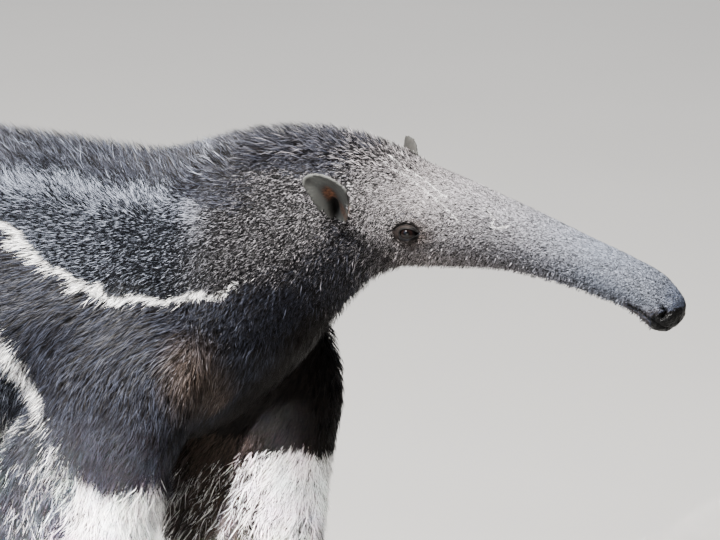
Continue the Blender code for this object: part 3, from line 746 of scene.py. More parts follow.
        # Painted shade in the hollow of the ear: the middle of the cup is darker.
        own = own * (1 - 0.80 * np.exp(-((((fore - 2) / 8) ** 2 + ((tall - 16) / 16) ** 2) ** 2)))
        rim = np.min(
            np.linalg.norm(into_head(points[near])[:, None] - ear_rims[one][None], axis=2), axis=1
        )
        own = own + 0.14 * np.exp(-((rim / 0.0009) ** 2))
        leaf = ((tall > 8) | (np.hypot((tall - 2) / 15, (fore - 1) / 12) < 1)) & (out > -4)
        pale[near] = np.where(leaf, own, pale[near])
    warm = np.interp(x, [-0.9, -0.5, -0.2, 0.1, 0.3], [0.55, 0.5, 0.4, 0.2, 0.05])
    # A brown patch on the point of the near shoulder: partly the hair's own brown, partly a painted highlight where
    # the shoulder stands out; the black is eased there too.
    patch_z = 0.413 - 0.4 * np.clip(y + 0.11, 0, 0.06)
    shoulder = np.exp(-(((x - 0.505) / 0.020) ** 2 + ((z - patch_z) / 0.034) ** 2)) * (y < -0.045)
    warm = np.maximum(warm, 0.85 * shoulder)
    dark = dark * (1 - 0.45 * shoulder)
    warm = np.maximum(warm, 0.30 * under_face * smooth_step(0.64, 0.70, x))
    # Brown in the painted shadow on the far foreleg's inner side.
    warm = np.maximum(warm, 0.4 * inner)
    warm = np.maximum(warm, 0.55 * halo)
    for one in (-1, 1):
        tall, fore, out = in_ear(points, one)
        rust = ((tall - 19.5) / 9) ** 2 + ((fore - 1.5) / 6.5) ** 2 + (out / 25) ** 2
        flesh = ((tall + 3) / 12) ** 2 + ((fore - 7) / 4) ** 2 + (out / 25) ** 2
        warm = np.maximum(warm, np.maximum(np.exp(-(rust**2)), 0.6 * np.exp(-(flesh**2))))
    return np.clip(np.column_stack((white, dark, warm, pale)), 0, 1)


def eye_cover(points):
    """The share of each point that is bare eyelid, and the places on its eye's plane."""
    side = np.where(into_head(points)[:, 1] > 0, 1, -1)
    cover = np.zeros(len(points))
    spots = np.full((len(points), 2), 9.0)
    for one in (-1, 1):
        p, q, height = eye_plane(points, one)
        here = (side == one) & (np.hypot(p, q) < 0.03) & (height > -0.012)
        lift = np.where(q > 0, 0.0096, 0.0076)
        away = np.hypot((p + 0.0022) / 0.0136, q / lift)
        cover = np.where(here, 1 - smooth_step(0.94, 1.10, away), cover)
        spots[here] = np.column_stack((p, q))[here]
    return cover, spots


def eye_fold_shade(spots):
    """How dark the painted shade in the folds round an eye is, from places on the eye's plane; the streak ahead of the
    front corner is a tear stain of the hide's own.
    """
    p, q = spots.T
    crease = np.exp(-((flat_gap(p, q, LID_CREASE) / 0.80) ** 2))
    brow = np.exp(-((flat_gap(p, q, LID_LINES[1][0]) / 1.1) ** 2)) * 0.7
    bag = np.exp(-((flat_gap(p, q, [(10.5, -4.0), (6.0, -9.0), (1.5, -12.0), (3.0, -15.0)]) / 2.3) ** 2)) * 0.9
    pad = np.exp(-((flat_gap(p, q, [(-9.5, -5.5), (-4.0, -9.5), (0.5, -10.5)]) / 0.9) ** 2)) * 0.55
    low = np.exp(-((flat_gap(p, q, LID_LINES[4][0]) / 0.8) ** 2)) * 0.7
    tear = np.exp(-((flat_gap(p, q, [(10.0, -1.0), (16.0, -2.5), (27.0, -4.5)]) / 1.3) ** 2)) * 0.5
    return np.maximum.reduce([crease, brow, bag, pad, low, tear])


def skin_zones(points, normals):
    """Shares of the hide that are wet nose, ear lining and eyelid, and black: painted shade in the ear canal, mouth
    slit, nostrils and folds round the eyes, and the lids' own dark edge.
    """
    local = one_sided(points)
    lx, ly, lz = local.T
    rough_edge = ripple(points, 0.004) * 0.0006
    pad = smooth_step(-0.0012, 0.0012, 0.5190 - lz + 0.22 * (lx - 0.545) + rough_edge)
    pad *= smooth_step(0.5375, 0.5410, lx + (0.515 - lz) * 0.40 + rough_edge)
    lip = np.exp(-((side_gap(local, [(a, b, c - 0.0018) for a, b, c in MOUTH]) / 0.0028) ** 2))
    upper = 0.55 * smooth_step(0.544, 0.560, lx + (lz - 0.53) * 0.25)
    tip = np.maximum.reduce([pad, upper, lip * 0.95])
    lining, canal = np.zeros(len(points)), np.zeros(len(points))
    for side in (-1, 1):
        root, up, opens, ahead = ear_frame(side)
        tall, fore, out = in_ear(points, side)
        inside = (tall > -14) & (tall < 48) & (np.abs(fore) < 27) & (out > -6) & (out < 30)
        outward = turned_out(opens[None])[0]
        faces_in = np.maximum(smooth_step(-0.25, 0.15, normals @ outward), smooth_step(14, 20, tall))
        shape = (tall > 6) | (np.hypot((tall - 2) / 15, (fore - 1) / 12) < 1)
        lining = np.maximum(lining, inside * faces_in * shape)
        middle = np.interp(tall, [-11, -2, 7, 17], [-6.5, -2.0, 0.8, 1.5])
        hole = ((tall - 0.5) / 11.5) ** 2 + ((fore - middle) / 4.4) ** 2
        canal = np.maximum(canal, inside * np.exp(-(hole**3)))
    cover, spots = eye_cover(points)
    slit = np.exp(-((side_gap(local, MOUTH) / 0.0011) ** 2))
    nostril = np.exp(-((side_gap(local, NOSTRIL) / 0.0016) ** 2)) * (ly > 0.003)
    turn = np.arctan2(spots[:, 1], spots[:, 0])
    edge_p, edge_q = opening_edge(turn)
    rim = np.exp(-((np.maximum(np.hypot(*spots.T) - np.hypot(edge_p, edge_q), 0) / 0.0009) ** 2))
    rim = rim * (np.hypot(*spots.T) < 0.02)
    # Painted black shade in the recesses and folds, and the lids' own dark edge.
    folds = np.clip(np.maximum.reduce([canal, slit, nostril, eye_fold_shade(spots), rim]), 0, 1)
    return np.clip(np.column_stack((tip, lining, cover, folds)), 0, 1)


skin_points = read_points(skin_mesh)
skin_normals = read_points(skin_mesh, "normal")
skin_marks = marks(skin_points)
zones = skin_zones(skin_points, skin_normals)


crusty = smooth_step(0.6, 0.9, zones[:, 0])
lumps = (ripple(skin_points, 0.0055, 3) * 0.00055 + ripple(skin_points, 0.0030, 12) * 0.00040 - 0.0002) * crusty
for vertex, step in zip(skin_mesh.vertices, lumps):
    if step:
        vertex.co += vertex.normal * float(step)


def store(mesh, name, values):
    layer = mesh.color_attributes.new(name, "FLOAT_COLOR", "POINT")
    layer.data.foreach_set("color", np.ascontiguousarray(values, np.float32).ravel())


# Painted shade between the hairs: on the body the hide under the coat is less white and less pale.
skin_marks[:, 0] *= np.where(skin_points[:, 0] < 0.6, 0.45, 1.0)
skin_marks[:, 3] *= np.where(skin_points[:, 0] < 0.6, 0.5, 1.0)
# Painted reflection of the sky on the wet edge of the lower lid, brighter towards the front corner.
LID_RIM = [(-8.0, -4.2), (-4.0, -6.0), (0.0, -6.2), (4.0, -4.8), (8.0, -2.2), (11.0, 0.2)]
cover, lid_places = eye_cover(skin_points)
lid_rim_reflection = np.exp(-((flat_gap(lid_places[:, 0], lid_places[:, 1], LID_RIM) / 0.7) ** 2))
lid_rim_reflection *= 0.25 + 0.75 * smooth_step(0.001, 0.007, lid_places[:, 0])
skin_marks[:, 3] = np.where(cover > 0.02, lid_rim_reflection * 0.8, skin_marks[:, 3])
store(skin_mesh, "marking", skin_marks)
store(skin_mesh, "zones", zones)


# Colour of the coat: agouti hairs, dark with pale bands and tips on the grizzled parts, and
# plain white, black or brown where the markings say so. The hide under them is painted alike.
def coat_tones():
    group = bpy.data.node_groups.new("coat_tones", "ShaderNodeTree")
    face = group.interface
    for name, kind in (
        ("Marking", "NodeSocketColor"), ("Pale", "NodeSocketFloat"), ("Along", "NodeSocketFloat"),
        ("Shade", "NodeSocketFloat"), ("Contrast", "NodeSocketFloat"), ("Tip", "NodeSocketFloat"),
        ("Band", "NodeSocketFloat"), ("Cool", "NodeSocketFloat"),
    ):
        face.new_socket(name, in_out="INPUT", socket_type=kind)
    face.new_socket("Colour", in_out="OUTPUT", socket_type="NodeSocketColor")
    n, l = group.nodes, group.links
    given, result = n.new("NodeGroupInput"), n.new("NodeGroupOutput")

    def sums(kind, a, b, c=None):
        node = n.new("ShaderNodeMath")
        node.operation = kind
        node.use_clamp = kind == "MULTIPLY_ADD"
        for place, value in enumerate((a, b, c)):
            if isinstance(value, (int, float)):
                node.inputs[place].default_value = value
            elif value is not None:
                l.new(value, node.inputs[place])
        return node.outputs[0]

    def blend(share, first, second):
        node = n.new("ShaderNodeMix")
        node.data_type = "RGBA"
        l.new(share, node.inputs["Factor"])
        for socket, value in ((node.inputs[6], first), (node.inputs[7], second)):
            if isinstance(value, tuple):
                socket.default_value = value
            else:
                l.new(value, socket)
        return node.outputs[2]

    split = n.new("ShaderNodeSeparateColor")
    l.new(given.outputs["Marking"], split.inputs[0])
    white, dark, warm = split.outputs
    centred = sums("SUBTRACT", given.outputs["Shade"], 0.5)
    lucky = sums("SUBTRACT", sums("ADD", given.outputs["Shade"], given.outputs["Pale"]), 1.0)
    tipped = sums("MULTIPLY", sums("SUBTRACT", given.outputs["Along"], 0.45), given.outputs["Tip"])
    lively = sums("MULTIPLY", centred, 0.7)
    lucky = sums("ADD", lucky, given.outputs["Band"])
    grey_share = sums("MULTIPLY_ADD", lucky, given.outputs["Contrast"], sums("ADD", tipped, 0.5))
    # Cool blends each tone from the hair's own warm grey to a blue grey; the blue is painted sky light.
    deep = blend(given.outputs["Cool"], (0.0022, 0.0019, 0.0018, 1), (0.0020, 0.0024, 0.0034, 1))
    light = blend(given.outputs["Cool"], (0.330, 0.300, 0.298, 1), (0.215, 0.240, 0.300, 1))
    grey = blend(grey_share, deep, light)
    brown = blend(grey_share, (0.005, 0.003, 0.002, 1), (0.18, 0.12, 0.084, 1))
    base = blend(sums("MULTIPLY", warm, 0.6), grey, brown)
    # A pale share under about 0.017 darkens the black hairs; the markings use this for painted shade on the chest.
    lift = sums("SUBTRACT", sums("MULTIPLY_ADD", given.outputs["Pale"], 60, 0), 0.92)
    # The black hairs run from near black to blue grey; the blue grey is a painted sheen of sky light on black hair.
    black = blend(sums("MULTIPLY_ADD", centred, 2.1, lift), (0.0010, 0.0010, 0.0013, 1), (0.029, 0.036, 0.056, 1))
    rusty = blend(sums("MULTIPLY_ADD", centred, 1.2, 0.38), (0.012, 0.009, 0.007, 1), (0.24, 0.178, 0.142, 1))
    black = blend(sums("MULTIPLY", warm, 0.8), black, rusty)
    lit = sums("MULTIPLY_ADD", given.outputs["Along"], 0.8, 0.12)
    clean = blend(sums("MULTIPLY_ADD", centred, 1.8, lit), (0.025, 0.024, 0.023, 1), (0.98, 0.975, 0.965, 1))
    l.new(blend(white, blend(dark, base, black), clean), result.inputs[0])
    return group


tones = coat_tones()


def attribute(n, name):
    node = n.new("ShaderNodeAttribute")
    node.attribute_name = name
    return node


def place_tones(n, l, contrast, tip):
    node = n.new("ShaderNodeGroup")
    node.node_tree = tones
    place = n.new("ShaderNodeTexCoord")
    axis = n.new("ShaderNodeSeparateXYZ")
    reach = n.new("ShaderNodeMapRange")
    reach.inputs["From Min"].default_value = 0.3
    reach.inputs["From Max"].default_value = 1.0
    # How much painted blue sky light each place gets along the body: most over the body and the snout, least on the
    # face round the eyes.
    ramp = n.new("ShaderNodeValToRGB")
    ramp.color_ramp.elements[0].color = (1, 1, 1, 1)
    ramp.color_ramp.elements[1].color = (1, 1, 1, 1)
    for spot, share in ((0.24, 0.95), (0.32, 0.40), (0.60, 0.15), (0.74, 0.50), (0.86, 1.0)):
        ramp.color_ramp.elements.new(spot).color = (share, share, share, 1)
    l.new(place.outputs["Object"], axis.inputs[0])
    l.new(axis.outputs["X"], reach.inputs["Value"])
    l.new(reach.outputs["Result"], ramp.inputs["Fac"])
    l.new(ramp.outputs["Color"], node.inputs["Cool"])
    calm = n.new("ShaderNodeMapRange")
    calm.inputs["From Min"].default_value = 0.76
    calm.inputs["From Max"].default_value = 0.92
    calm.inputs["To Min"].default_value = contrast
    calm.inputs["To Max"].default_value = contrast * 0.42
    l.new(axis.outputs["X"], calm.inputs["Value"])
    l.new(calm.outputs["Result"], node.inputs["Contrast"])
    node.inputs["Tip"].default_value = tip
    mark = attribute(n, "marking")
    l.new(mark.outputs["Color"], node.inputs["Marking"])
    l.new(mark.outputs["Alpha"], node.inputs["Pale"])
    return node


hide, n, l, shader = new_material("hide", 0.72, 0.08)
where = n.new("ShaderNodeTexCoord")
stipple = n.new("ShaderNodeTexNoise")
stipple.inputs["Scale"].default_value = 620
stipple.inputs["Detail"].default_value = 3
stretch = n.new("ShaderNodeMapping")
stretch.inputs["Scale"].default_value = (0.45, 1, 1)
l.new(where.outputs["Object"], stretch.inputs["Vector"])
l.new(stretch.outputs["Vector"], stipple.inputs["Vector"])
even = n.new("ShaderNodeMapRange")
even.inputs["From Min"].default_value = 0.32
even.inputs["From Max"].default_value = 0.68
l.new(stipple.outputs["Fac"], even.inputs["Value"])
coat_colour = place_tones(n, l, 1.6, 0.0)
coat_colour.inputs["Along"].default_value = 0.45
l.new(even.outputs["Result"], coat_colour.inputs["Shade"])
zone = attribute(n, "zones")
zone_split = n.new("ShaderNodeSeparateColor")
l.new(zone.outputs["Color"], zone_split.inputs[0])


def mixed(share, first, second):
    node = n.new("ShaderNodeMix")
    node.data_type = "RGBA"
    l.new(share, node.inputs["Factor"])
    l.new(first, node.inputs[6])
    if isinstance(second, tuple):
        node.inputs[7].default_value = second
    else:
        l.new(second, node.inputs[7])
    return node.outputs[2]


def two_tone(share, first, second):
    ramp = n.new("ShaderNodeValToRGB")
    ramp.color_ramp.elements[0].color = first
    ramp.color_ramp.elements[1].color = second
    l.new(share, ramp.inputs["Fac"])
    return ramp.outputs["Color"]


ear_mark = attribute(n, "marking")
ear_split = n.new("ShaderNodeSeparateColor")
l.new(ear_mark.outputs["Color"], ear_split.inputs[0])
# The ear lining's tone follows the pale share, which holds painted shade in the cup and on the far ear.
velvet = two_tone(ear_mark.outputs["Alpha"], (0.003, 0.003, 0.003, 1), (0.33, 0.35, 0.33, 1))
rusty = two_tone(even.outputs["Result"], (0.006, 0.003, 0.002, 1), (0.080, 0.032, 0.016, 1))
velvet = mixed(ear_split.outputs[2], velvet, rusty)
lid_skin = two_tone(even.outputs["Result"], (0.0025, 0.0018, 0.0016, 1), (0.011, 0.008, 0.007, 1))
# On the lids the pale share is the painted reflection on the wet lower lid edge, in blue grey.
lid_skin = mixed(ear_mark.outputs["Alpha"], lid_skin, (0.16, 0.17, 0.20, 1))
colour = mixed(zone_split.outputs[1], coat_colour.outputs[0], velvet)
colour = mixed(zone_split.outputs[2], colour, lid_skin)
nose_tone = two_tone(zone_split.outputs[0], (0.030, 0.036, 0.055, 1), (0.0012, 0.0012, 0.0014, 1))
nose_stops = nose_tone.node.color_ramp.elements
nose_stops[0].position, nose_stops[1].position = 0.50, 0.85
nose_share = n.new("ShaderNodeMapRange")
nose_share.inputs["From Max"].default_value = 0.55
l.new(zone_split.outputs[0], nose_share.inputs["Value"])
colour = mixed(nose_share.outputs["Result"], colour, nose_tone)
# Painted black shade in the folds, with the lids' dark edge, from the zones' last share.
colour = mixed(zone.outputs["Alpha"], colour, (0.0015, 0.0013, 0.0013, 1))
l.new(colour, shader.inputs["Base Color"])
wet = n.new("ShaderNodeMapRange")
wet.inputs["From Min"].default_value = 0.6
wet.inputs["To Min"].default_value = 0.72
wet.inputs["To Max"].default_value = 0.34
l.new(zone_split.outputs[0], wet.inputs["Value"])
l.new(wet.outputs["Result"], shader.inputs["Roughness"])
bump = n.new("ShaderNodeBump")
bump.inputs["Strength"].default_value = 0.8
crust = n.new("ShaderNodeMapRange")
crust.inputs["From Min"].default_value = 0.5
crust.inputs["To Min"].default_value = 0.0004
crust.inputs["To Max"].default_value = 0.0030
l.new(zone_split.outputs[0], crust.inputs["Value"])
l.new(crust.outputs["Result"], bump.inputs["Distance"])
l.new(stipple.outputs["Fac"], bump.inputs["Height"])
l.new(bump.outputs["Normal"], shader.inputs["Normal"])
skin = mesh_object("skin", skin_mesh, hide)
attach(skin, "root")
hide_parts(*FLESH)


# Eyeballs: two glossy dark balls of 21 mm with a slightly raised front, a brown iris
# and a black pupil. Each sits in its socket under the lids.
EYE_GAZE_TURN, EYE_GAZE_RISE = math.radians(17), math.radians(8)
eye_paint, n, l, shader = new_material("wet_eye", 0.04, 0.22)
gaze = attribute(n, "gaze")
iris_ramp = n.new("ShaderNodeValToRGB")
stops = iris_ramp.color_ramp
stops.elements[0].position, stops.elements[0].color = 0.0, (0.0006, 0.0006, 0.0006, 1)
stops.elements[1].position, stops.elements[1].color = 1.0, (0.0012, 0.0010, 0.0010, 1)
for position, tint in ((0.17, (0.0006, 0.0006, 0.0006, 1)), (0.22, (0.0022, 0.0011, 0.0009, 1)),
                       (0.34, (0.0030, 0.0014, 0.0011, 1)), (0.40, (0.0006, 0.0005, 0.0005, 1))):
    stops.elements.new(position).color = tint
fibres = n.new("ShaderNodeTexNoise")
fibres.inputs["Scale"].default_value = 1400
eye_where = n.new("ShaderNodeTexCoord")
l.new(eye_where.outputs["Object"], fibres.inputs["Vector"])
jitter = n.new("ShaderNodeMath")
jitter.operation = "MULTIPLY_ADD"
jitter.inputs[1].default_value = 0.05
l.new(fibres.outputs["Fac"], jitter.inputs[0])
l.new(gaze.outputs["Fac"], jitter.inputs[2])
l.new(jitter.outputs[0], iris_ramp.inputs["Fac"])
l.new(iris_ramp.outputs["Color"], shader.inputs["Base Color"])

for name, side in (("left_eye", 1), ("right_eye", -1)):
    ball = bmesh.new()
    bmesh.ops.create_uvsphere(ball, u_segments=48, v_segments=32, radius=BALL)
    for vert in ball.verts:
        off_axis = math.acos(max(-1, min(1, vert.co.z / BALL)))
        vert.co *= 1 + 0.045 * math.exp(-((off_axis / 0.55) ** 2))
    mesh = bpy.data.meshes.new(name)
    ball.to_mesh(mesh)
    ball.free()
    for polygon in mesh.polygons:
        polygon.use_smooth = True
    raw = read_points(mesh)
    off_axis = np.arccos(np.clip(raw[:, 2] / np.linalg.norm(raw, axis=1), -1, 1)) / (math.pi / 2)
    gaze_layer = mesh.attributes.new("gaze", "FLOAT", "POINT")
    gaze_layer.data.foreach_set("value", off_axis.astype(np.float32))
    out = Vector(
        (
            math.sin(EYE_GAZE_TURN) * math.cos(EYE_GAZE_RISE),
            side * math.cos(EYE_GAZE_TURN) * math.cos(EYE_GAZE_RISE),
            math.sin(EYE_GAZE_RISE),
        )
    )
    turn = np.array(out.to_track_quat("Z", "Y").to_matrix())
    write_points(mesh, out_of_head(raw @ turn.T + EYE_ROOT * (1, side, 1)))
    piece = mesh_object(name + "ball", mesh, eye_paint)
    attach(piece, "root")
    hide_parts(name)


# Claws: curved horn sheaths, long and strong on the forefeet and short on the hind ones,
# grown from the toes. Each foot's claws are one piece, rounded off from their solids.
horn, n, l, shader = new_material("horn", 0.38, 0.5)
claw_where = n.new("ShaderNodeTexCoord")
claw_grain = n.new("ShaderNodeTexNoise")
claw_grain.inputs["Scale"].default_value = 160
claw_grain.inputs["Detail"].default_value = 4
claw_stretch = n.new("ShaderNodeMapping")
claw_stretch.inputs["Scale"].default_value = (0.25, 1.0, 1.0)
l.new(claw_where.outputs["Object"], claw_stretch.inputs["Vector"])
l.new(claw_stretch.outputs["Vector"], claw_grain.inputs["Vector"])
l.new(two_tone(claw_grain.outputs["Fac"], (0.020, 0.016, 0.012, 1), (0.13, 0.107, 0.078, 1)),
      shader.inputs["Base Color"])
claw_bump = n.new("ShaderNodeBump")
claw_bump.inputs["Strength"].default_value = 0.4
claw_bump.inputs["Distance"].default_value = 0.0005
l.new(claw_grain.outputs["Fac"], claw_bump.inputs["Height"])
l.new(claw_bump.outputs["Normal"], shader.inputs["Normal"])

for foot in ("left_fore", "right_fore", "left_hind", "right_hind"):
    own = sorted(c for c in CLAWS if c.startswith(foot))
    rough = joined_copy(own, grow=0.0)
    sharp = through(rough, "SUBSURF", levels=2, render_levels=2)
    for polygon in sharp.polygons:
        polygon.use_smooth = True
    piece = mesh_object(foot + "_claws", sharp, horn)
    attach(piece, "root")
    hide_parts(*own)


# Coat: flat tapering hairs in locks, rooted on the hide and led over it along the lie of the
# fur, so that they cover each other like thatch. Short on the face and feet, longest on the tail.
PATCH = 0.003
skin_tree = BVHTree.FromPolygons(
    [Vector(p) for p in skin_points], [tuple(p.vertices) for p in skin_mesh.polygons]
)
skin_mesh.calc_loop_triangles()
corners = np.zeros(len(skin_mesh.loop_triangles) * 3, int)
skin_mesh.loop_triangles.foreach_get("vertices", corners)
corners = corners.reshape(-1, 3)
tri_a, tri_b, tri_c = (skin_points[corners[:, i]] for i in range(3))
tri_area = np.linalg.norm(np.cross(tri_b - tri_a, tri_c - tri_a), axis=1) / 2
tri_middle = (tri_a + tri_b + tri_c) / 3


def unit(ways):
    return ways / np.maximum(np.linalg.norm(ways, axis=1), 1e-9)[:, None]


def body_axis(x):
    """The middle line of the trunk and tail: its sideways and upward place at each x."""
    side = np.interp(x, [-0.98, -0.67, -0.4, -0.2, 0.55, 0.98], [0.115, 0.06, 0.012, -0.0035, -0.0035, -0.055])
    height = np.interp(
        x,
        [-0.98, -0.88, -0.74, -0.58, -0.42, -0.29, -0.2, -0.02, 0.25, 0.45, 0.55, 0.6, 0.75, 0.98],
        [0.142, 0.168, 0.204, 0.25, 0.318, 0.39, 0.431, 0.44, 0.442, 0.46, 0.53, 0.56, 0.57, 0.514],
    )
    return side, height


def unwrap(points):
    """Where a point lies on the flattened hide: the body is one tube and each leg another."""
    x, y, z = points.T
    side, height = body_axis(x)
    u = 0.02 + 0.96 * (x + 0.99) / 1.98
    v = 0.03 + 0.5 * (np.arctan2(y - side, z - height) / (2 * math.pi) + 0.5)
    leg = (z < 0.33) & (x > -0.26)
    quarter = np.where(x > 0.2, 0, 2) + (y > 0)
    leg_x = np.where(x > 0.2, np.where(y > 0, 0.49, 0.40), np.where(y > 0, -0.11, -0.01))
    leg_y = np.where(x > 0.2, np.where(y > 0, 0.08, -0.09), np.where(y > 0, 0.085, -0.09))
    around = np.arctan2(y - leg_y, x - leg_x) / (2 * math.pi) + 0.5
    u = np.where(leg, 0.02 + 0.245 * quarter + 0.22 * around, u)
    v = np.where(leg, 0.58 + 0.38 * z / 0.34, v)
    return u, v


def lie_ways(points, normals):
    """The way the coat lies at each point: back along the body, and down over its sides."""
    x, y, z = points.T
    local = one_sided(points)
    ways = np.zeros((len(points), 3))
    ways[:, 0] = -1.0
    fall = np.interp(x, [-0.98, -0.6, -0.3, -0.15, 0.0, 0.2, 0.40, 0.5, 0.56, 0.62, 0.68, 0.8, 0.98],
                     [0.5, 0.75, 0.8, 0.75, 0.7, 0.62, 0.75, 0.95, 0.9, 0.7, 0.45, 0.25, 0.25])
    crown = np.interp(x, [-0.25, 0.0, 0.2, 0.44, 0.49], [0.60, 0.575, 0.562, 0.553, 0.60])
    top = smooth_step(-0.016, 0.012, z - crown) * (x < 0.52) * (x > -0.3)
    ways[:, 2] = -fall * (1 - top) + 1.1 * top
    steep = smooth_step(0.44, 0.38, z) * (x > 0.27) * (x < 0.66)
    ways[:, 2] -= 1.6 * steep
    fore = (x > 0.24) & (z < 0.33)
    hind = (x < 0.16) & (x > -0.26) & (z < 0.34)
    for leg in (fore, hind):
        ways[leg] = (-0.38, 0.0, -1.0)
    swing = ripple(points, 0.06, 3)[:, None] * np.cross(normals, ways) * 0.20
    tail = smooth_step(-0.25, -0.45, x)[:, None]
    ways = ways + swing + tail * np.array((-0.2, 0.06, 0.0))
    ways = ways - normals * np.sum(ways * normals, axis=1)[:, None]
    return unit(ways)


def on_hide(points):
    """The nearest place on the hide to each point, and the hide's outward way there."""
    found = [skin_tree.find_nearest(Vector(p)) for p in points]
    return np.array([f[0] for f in found]), np.array([f[1] for f in found])


def scatter(random, share, count):
    weight = tri_area * share
    chosen = random.choice(len(weight), count, p=weight / weight.sum())
    a, b = random.uniform(size=(2, count))
    flip = a + b > 1
    a, b = np.where(flip, 1 - a, a), np.where(flip, 1 - b, b)
    mix = np.column_stack((1 - a - b, a, b))
    own = corners[chosen]
    places = np.einsum("nk,nkd->nd", mix, skin_points[own])
    outward = unit(np.einsum("nk,nkd->nd", mix, skin_normals[own]))
    return places, outward


def lead(roots, outward, long, rise, steps, lie, curl):
    """Guide lines that start at the roots and run over the hide, each rising to its height."""
    lines, ups = [roots], [outward]
    here, up = roots, outward
    step = (long / steps)[:, None]
    for k in range(1, steps + 1):
        way = lie(here, up)
        sway = np.cross(up, way) * (curl * k / steps)[:, None]
        here, up = on_hide(here + unit(way + sway) * step)
        raised = rise * (1 - (1 - k / steps) ** 1.7)
        lines.append(here + up * raised[:, None])
        ups.append(up)
    return np.array(lines), np.array(ups)


def ribbon_mesh(name, path, side, wide, root_uv, marking, shades):
    """One mesh of tapering ribbons. path is steps x hairs x 3."""
    steps, count = len(path) - 1, path.shape[1]
    points = np.zeros((count, 2 * steps + 1, 3))
    strand = np.zeros((count, 2 * steps + 1, 4))
    spot = np.zeros((count, 2 * steps + 1, 2))
    for k in range(steps):
        t = k / steps
        half = side[k] * (wide * (0.75 + 0.5 * t - 1.05 * t * t) / 2)[:, None]
        points[:, 2 * k], points[:, 2 * k + 1] = path[k] - half, path[k] + half
        strand[:, 2 * k : 2 * k + 2, 0] = t
        spot[:, 2 * k] = (-PATCH / 2, PATCH * (t - 0.5))
        spot[:, 2 * k + 1] = (PATCH / 2, PATCH * (t - 0.5))
    points[:, -1] = path[-1]
    strand[:, -1, 0] = 1
    spot[:, -1] = (0, PATCH / 2)
    strand[:, :, 1:3] = shades[:, None, :]
    strand[:, :, 3] = 1
    spot += root_uv[:, None, :]
    face = []
    for k in range(steps - 1):
        face += [2 * k, 2 * k + 1, 2 * k + 3, 2 * k + 2]
    face += [2 * steps - 2, 2 * steps - 1, 2 * steps]
    sizes = np.array([4] * (steps - 1) + [3])
    loops = (np.arange(count)[:, None] * (2 * steps + 1) + np.array(face)).ravel()
    all_sizes = np.tile(sizes, count)
    starts = np.concatenate(([0], np.cumsum(all_sizes)[:-1]))
    mesh = bpy.data.meshes.new(name)
    mesh.vertices.add(points.shape[0] * points.shape[1])
    mesh.vertices.foreach_set("co", points.ravel())
    mesh.loops.add(len(loops))
    mesh.loops.foreach_set("vertex_index", loops.astype(np.int32))
    mesh.polygons.add(len(all_sizes))
    mesh.polygons.foreach_set("loop_start", starts.astype(np.int32))
    mesh.polygons.foreach_set("use_smooth", np.ones(len(all_sizes), bool))
    mesh.update(calc_edges=True)
    uv = mesh.uv_layers.new(name="OFBake")
    uv.data.foreach_set("uv", spot.reshape(-1, 2)[loops].astype(np.float32).ravel())
    store(mesh, "marking", np.repeat(marking, 2 * steps + 1, axis=0))
    store(mesh, "strand", strand.reshape(-1, 4))
    return mesh


def hair_material(name, roughness, specular, contrast, tip, bands):
    material, n, l, shader = new_material(name, roughness, specular)
    node = place_tones(n, l, contrast, tip)
    strand = attribute(n, "strand")
    split = n.new("ShaderNodeSeparateColor")
    l.new(strand.outputs["Color"], split.inputs[0])
    l.new(split.outputs[0], node.inputs["Along"])
    l.new(split.outputs[1], node.inputs["Shade"])
    turns = n.new("ShaderNodeMath")
    turns.operation = "MULTIPLY_ADD"
    turns.inputs[1].default_value = bands * 2 * math.pi
    l.new(split.outputs[0], turns.inputs[0])
    start = n.new("ShaderNodeMath")
    start.operation = "MULTIPLY"
    start.inputs[1].default_value = 97.0
    l.new(split.outputs[2], start.inputs[0])
    l.new(start.outputs[0], turns.inputs[2])
    wave = n.new("ShaderNodeMath")
    wave.operation = "SINE"
    l.new(turns.outputs[0], wave.inputs[0])
    depth = n.new("ShaderNodeMath")
    depth.operation = "MULTIPLY"
    depth.inputs[1].default_value = 0.16
    l.new(wave.outputs[0], depth.inputs[0])
    l.new(depth.outputs[0], node.inputs["Band"])
    l.new(node.outputs[0], shader.inputs["Base Color"])
    return material


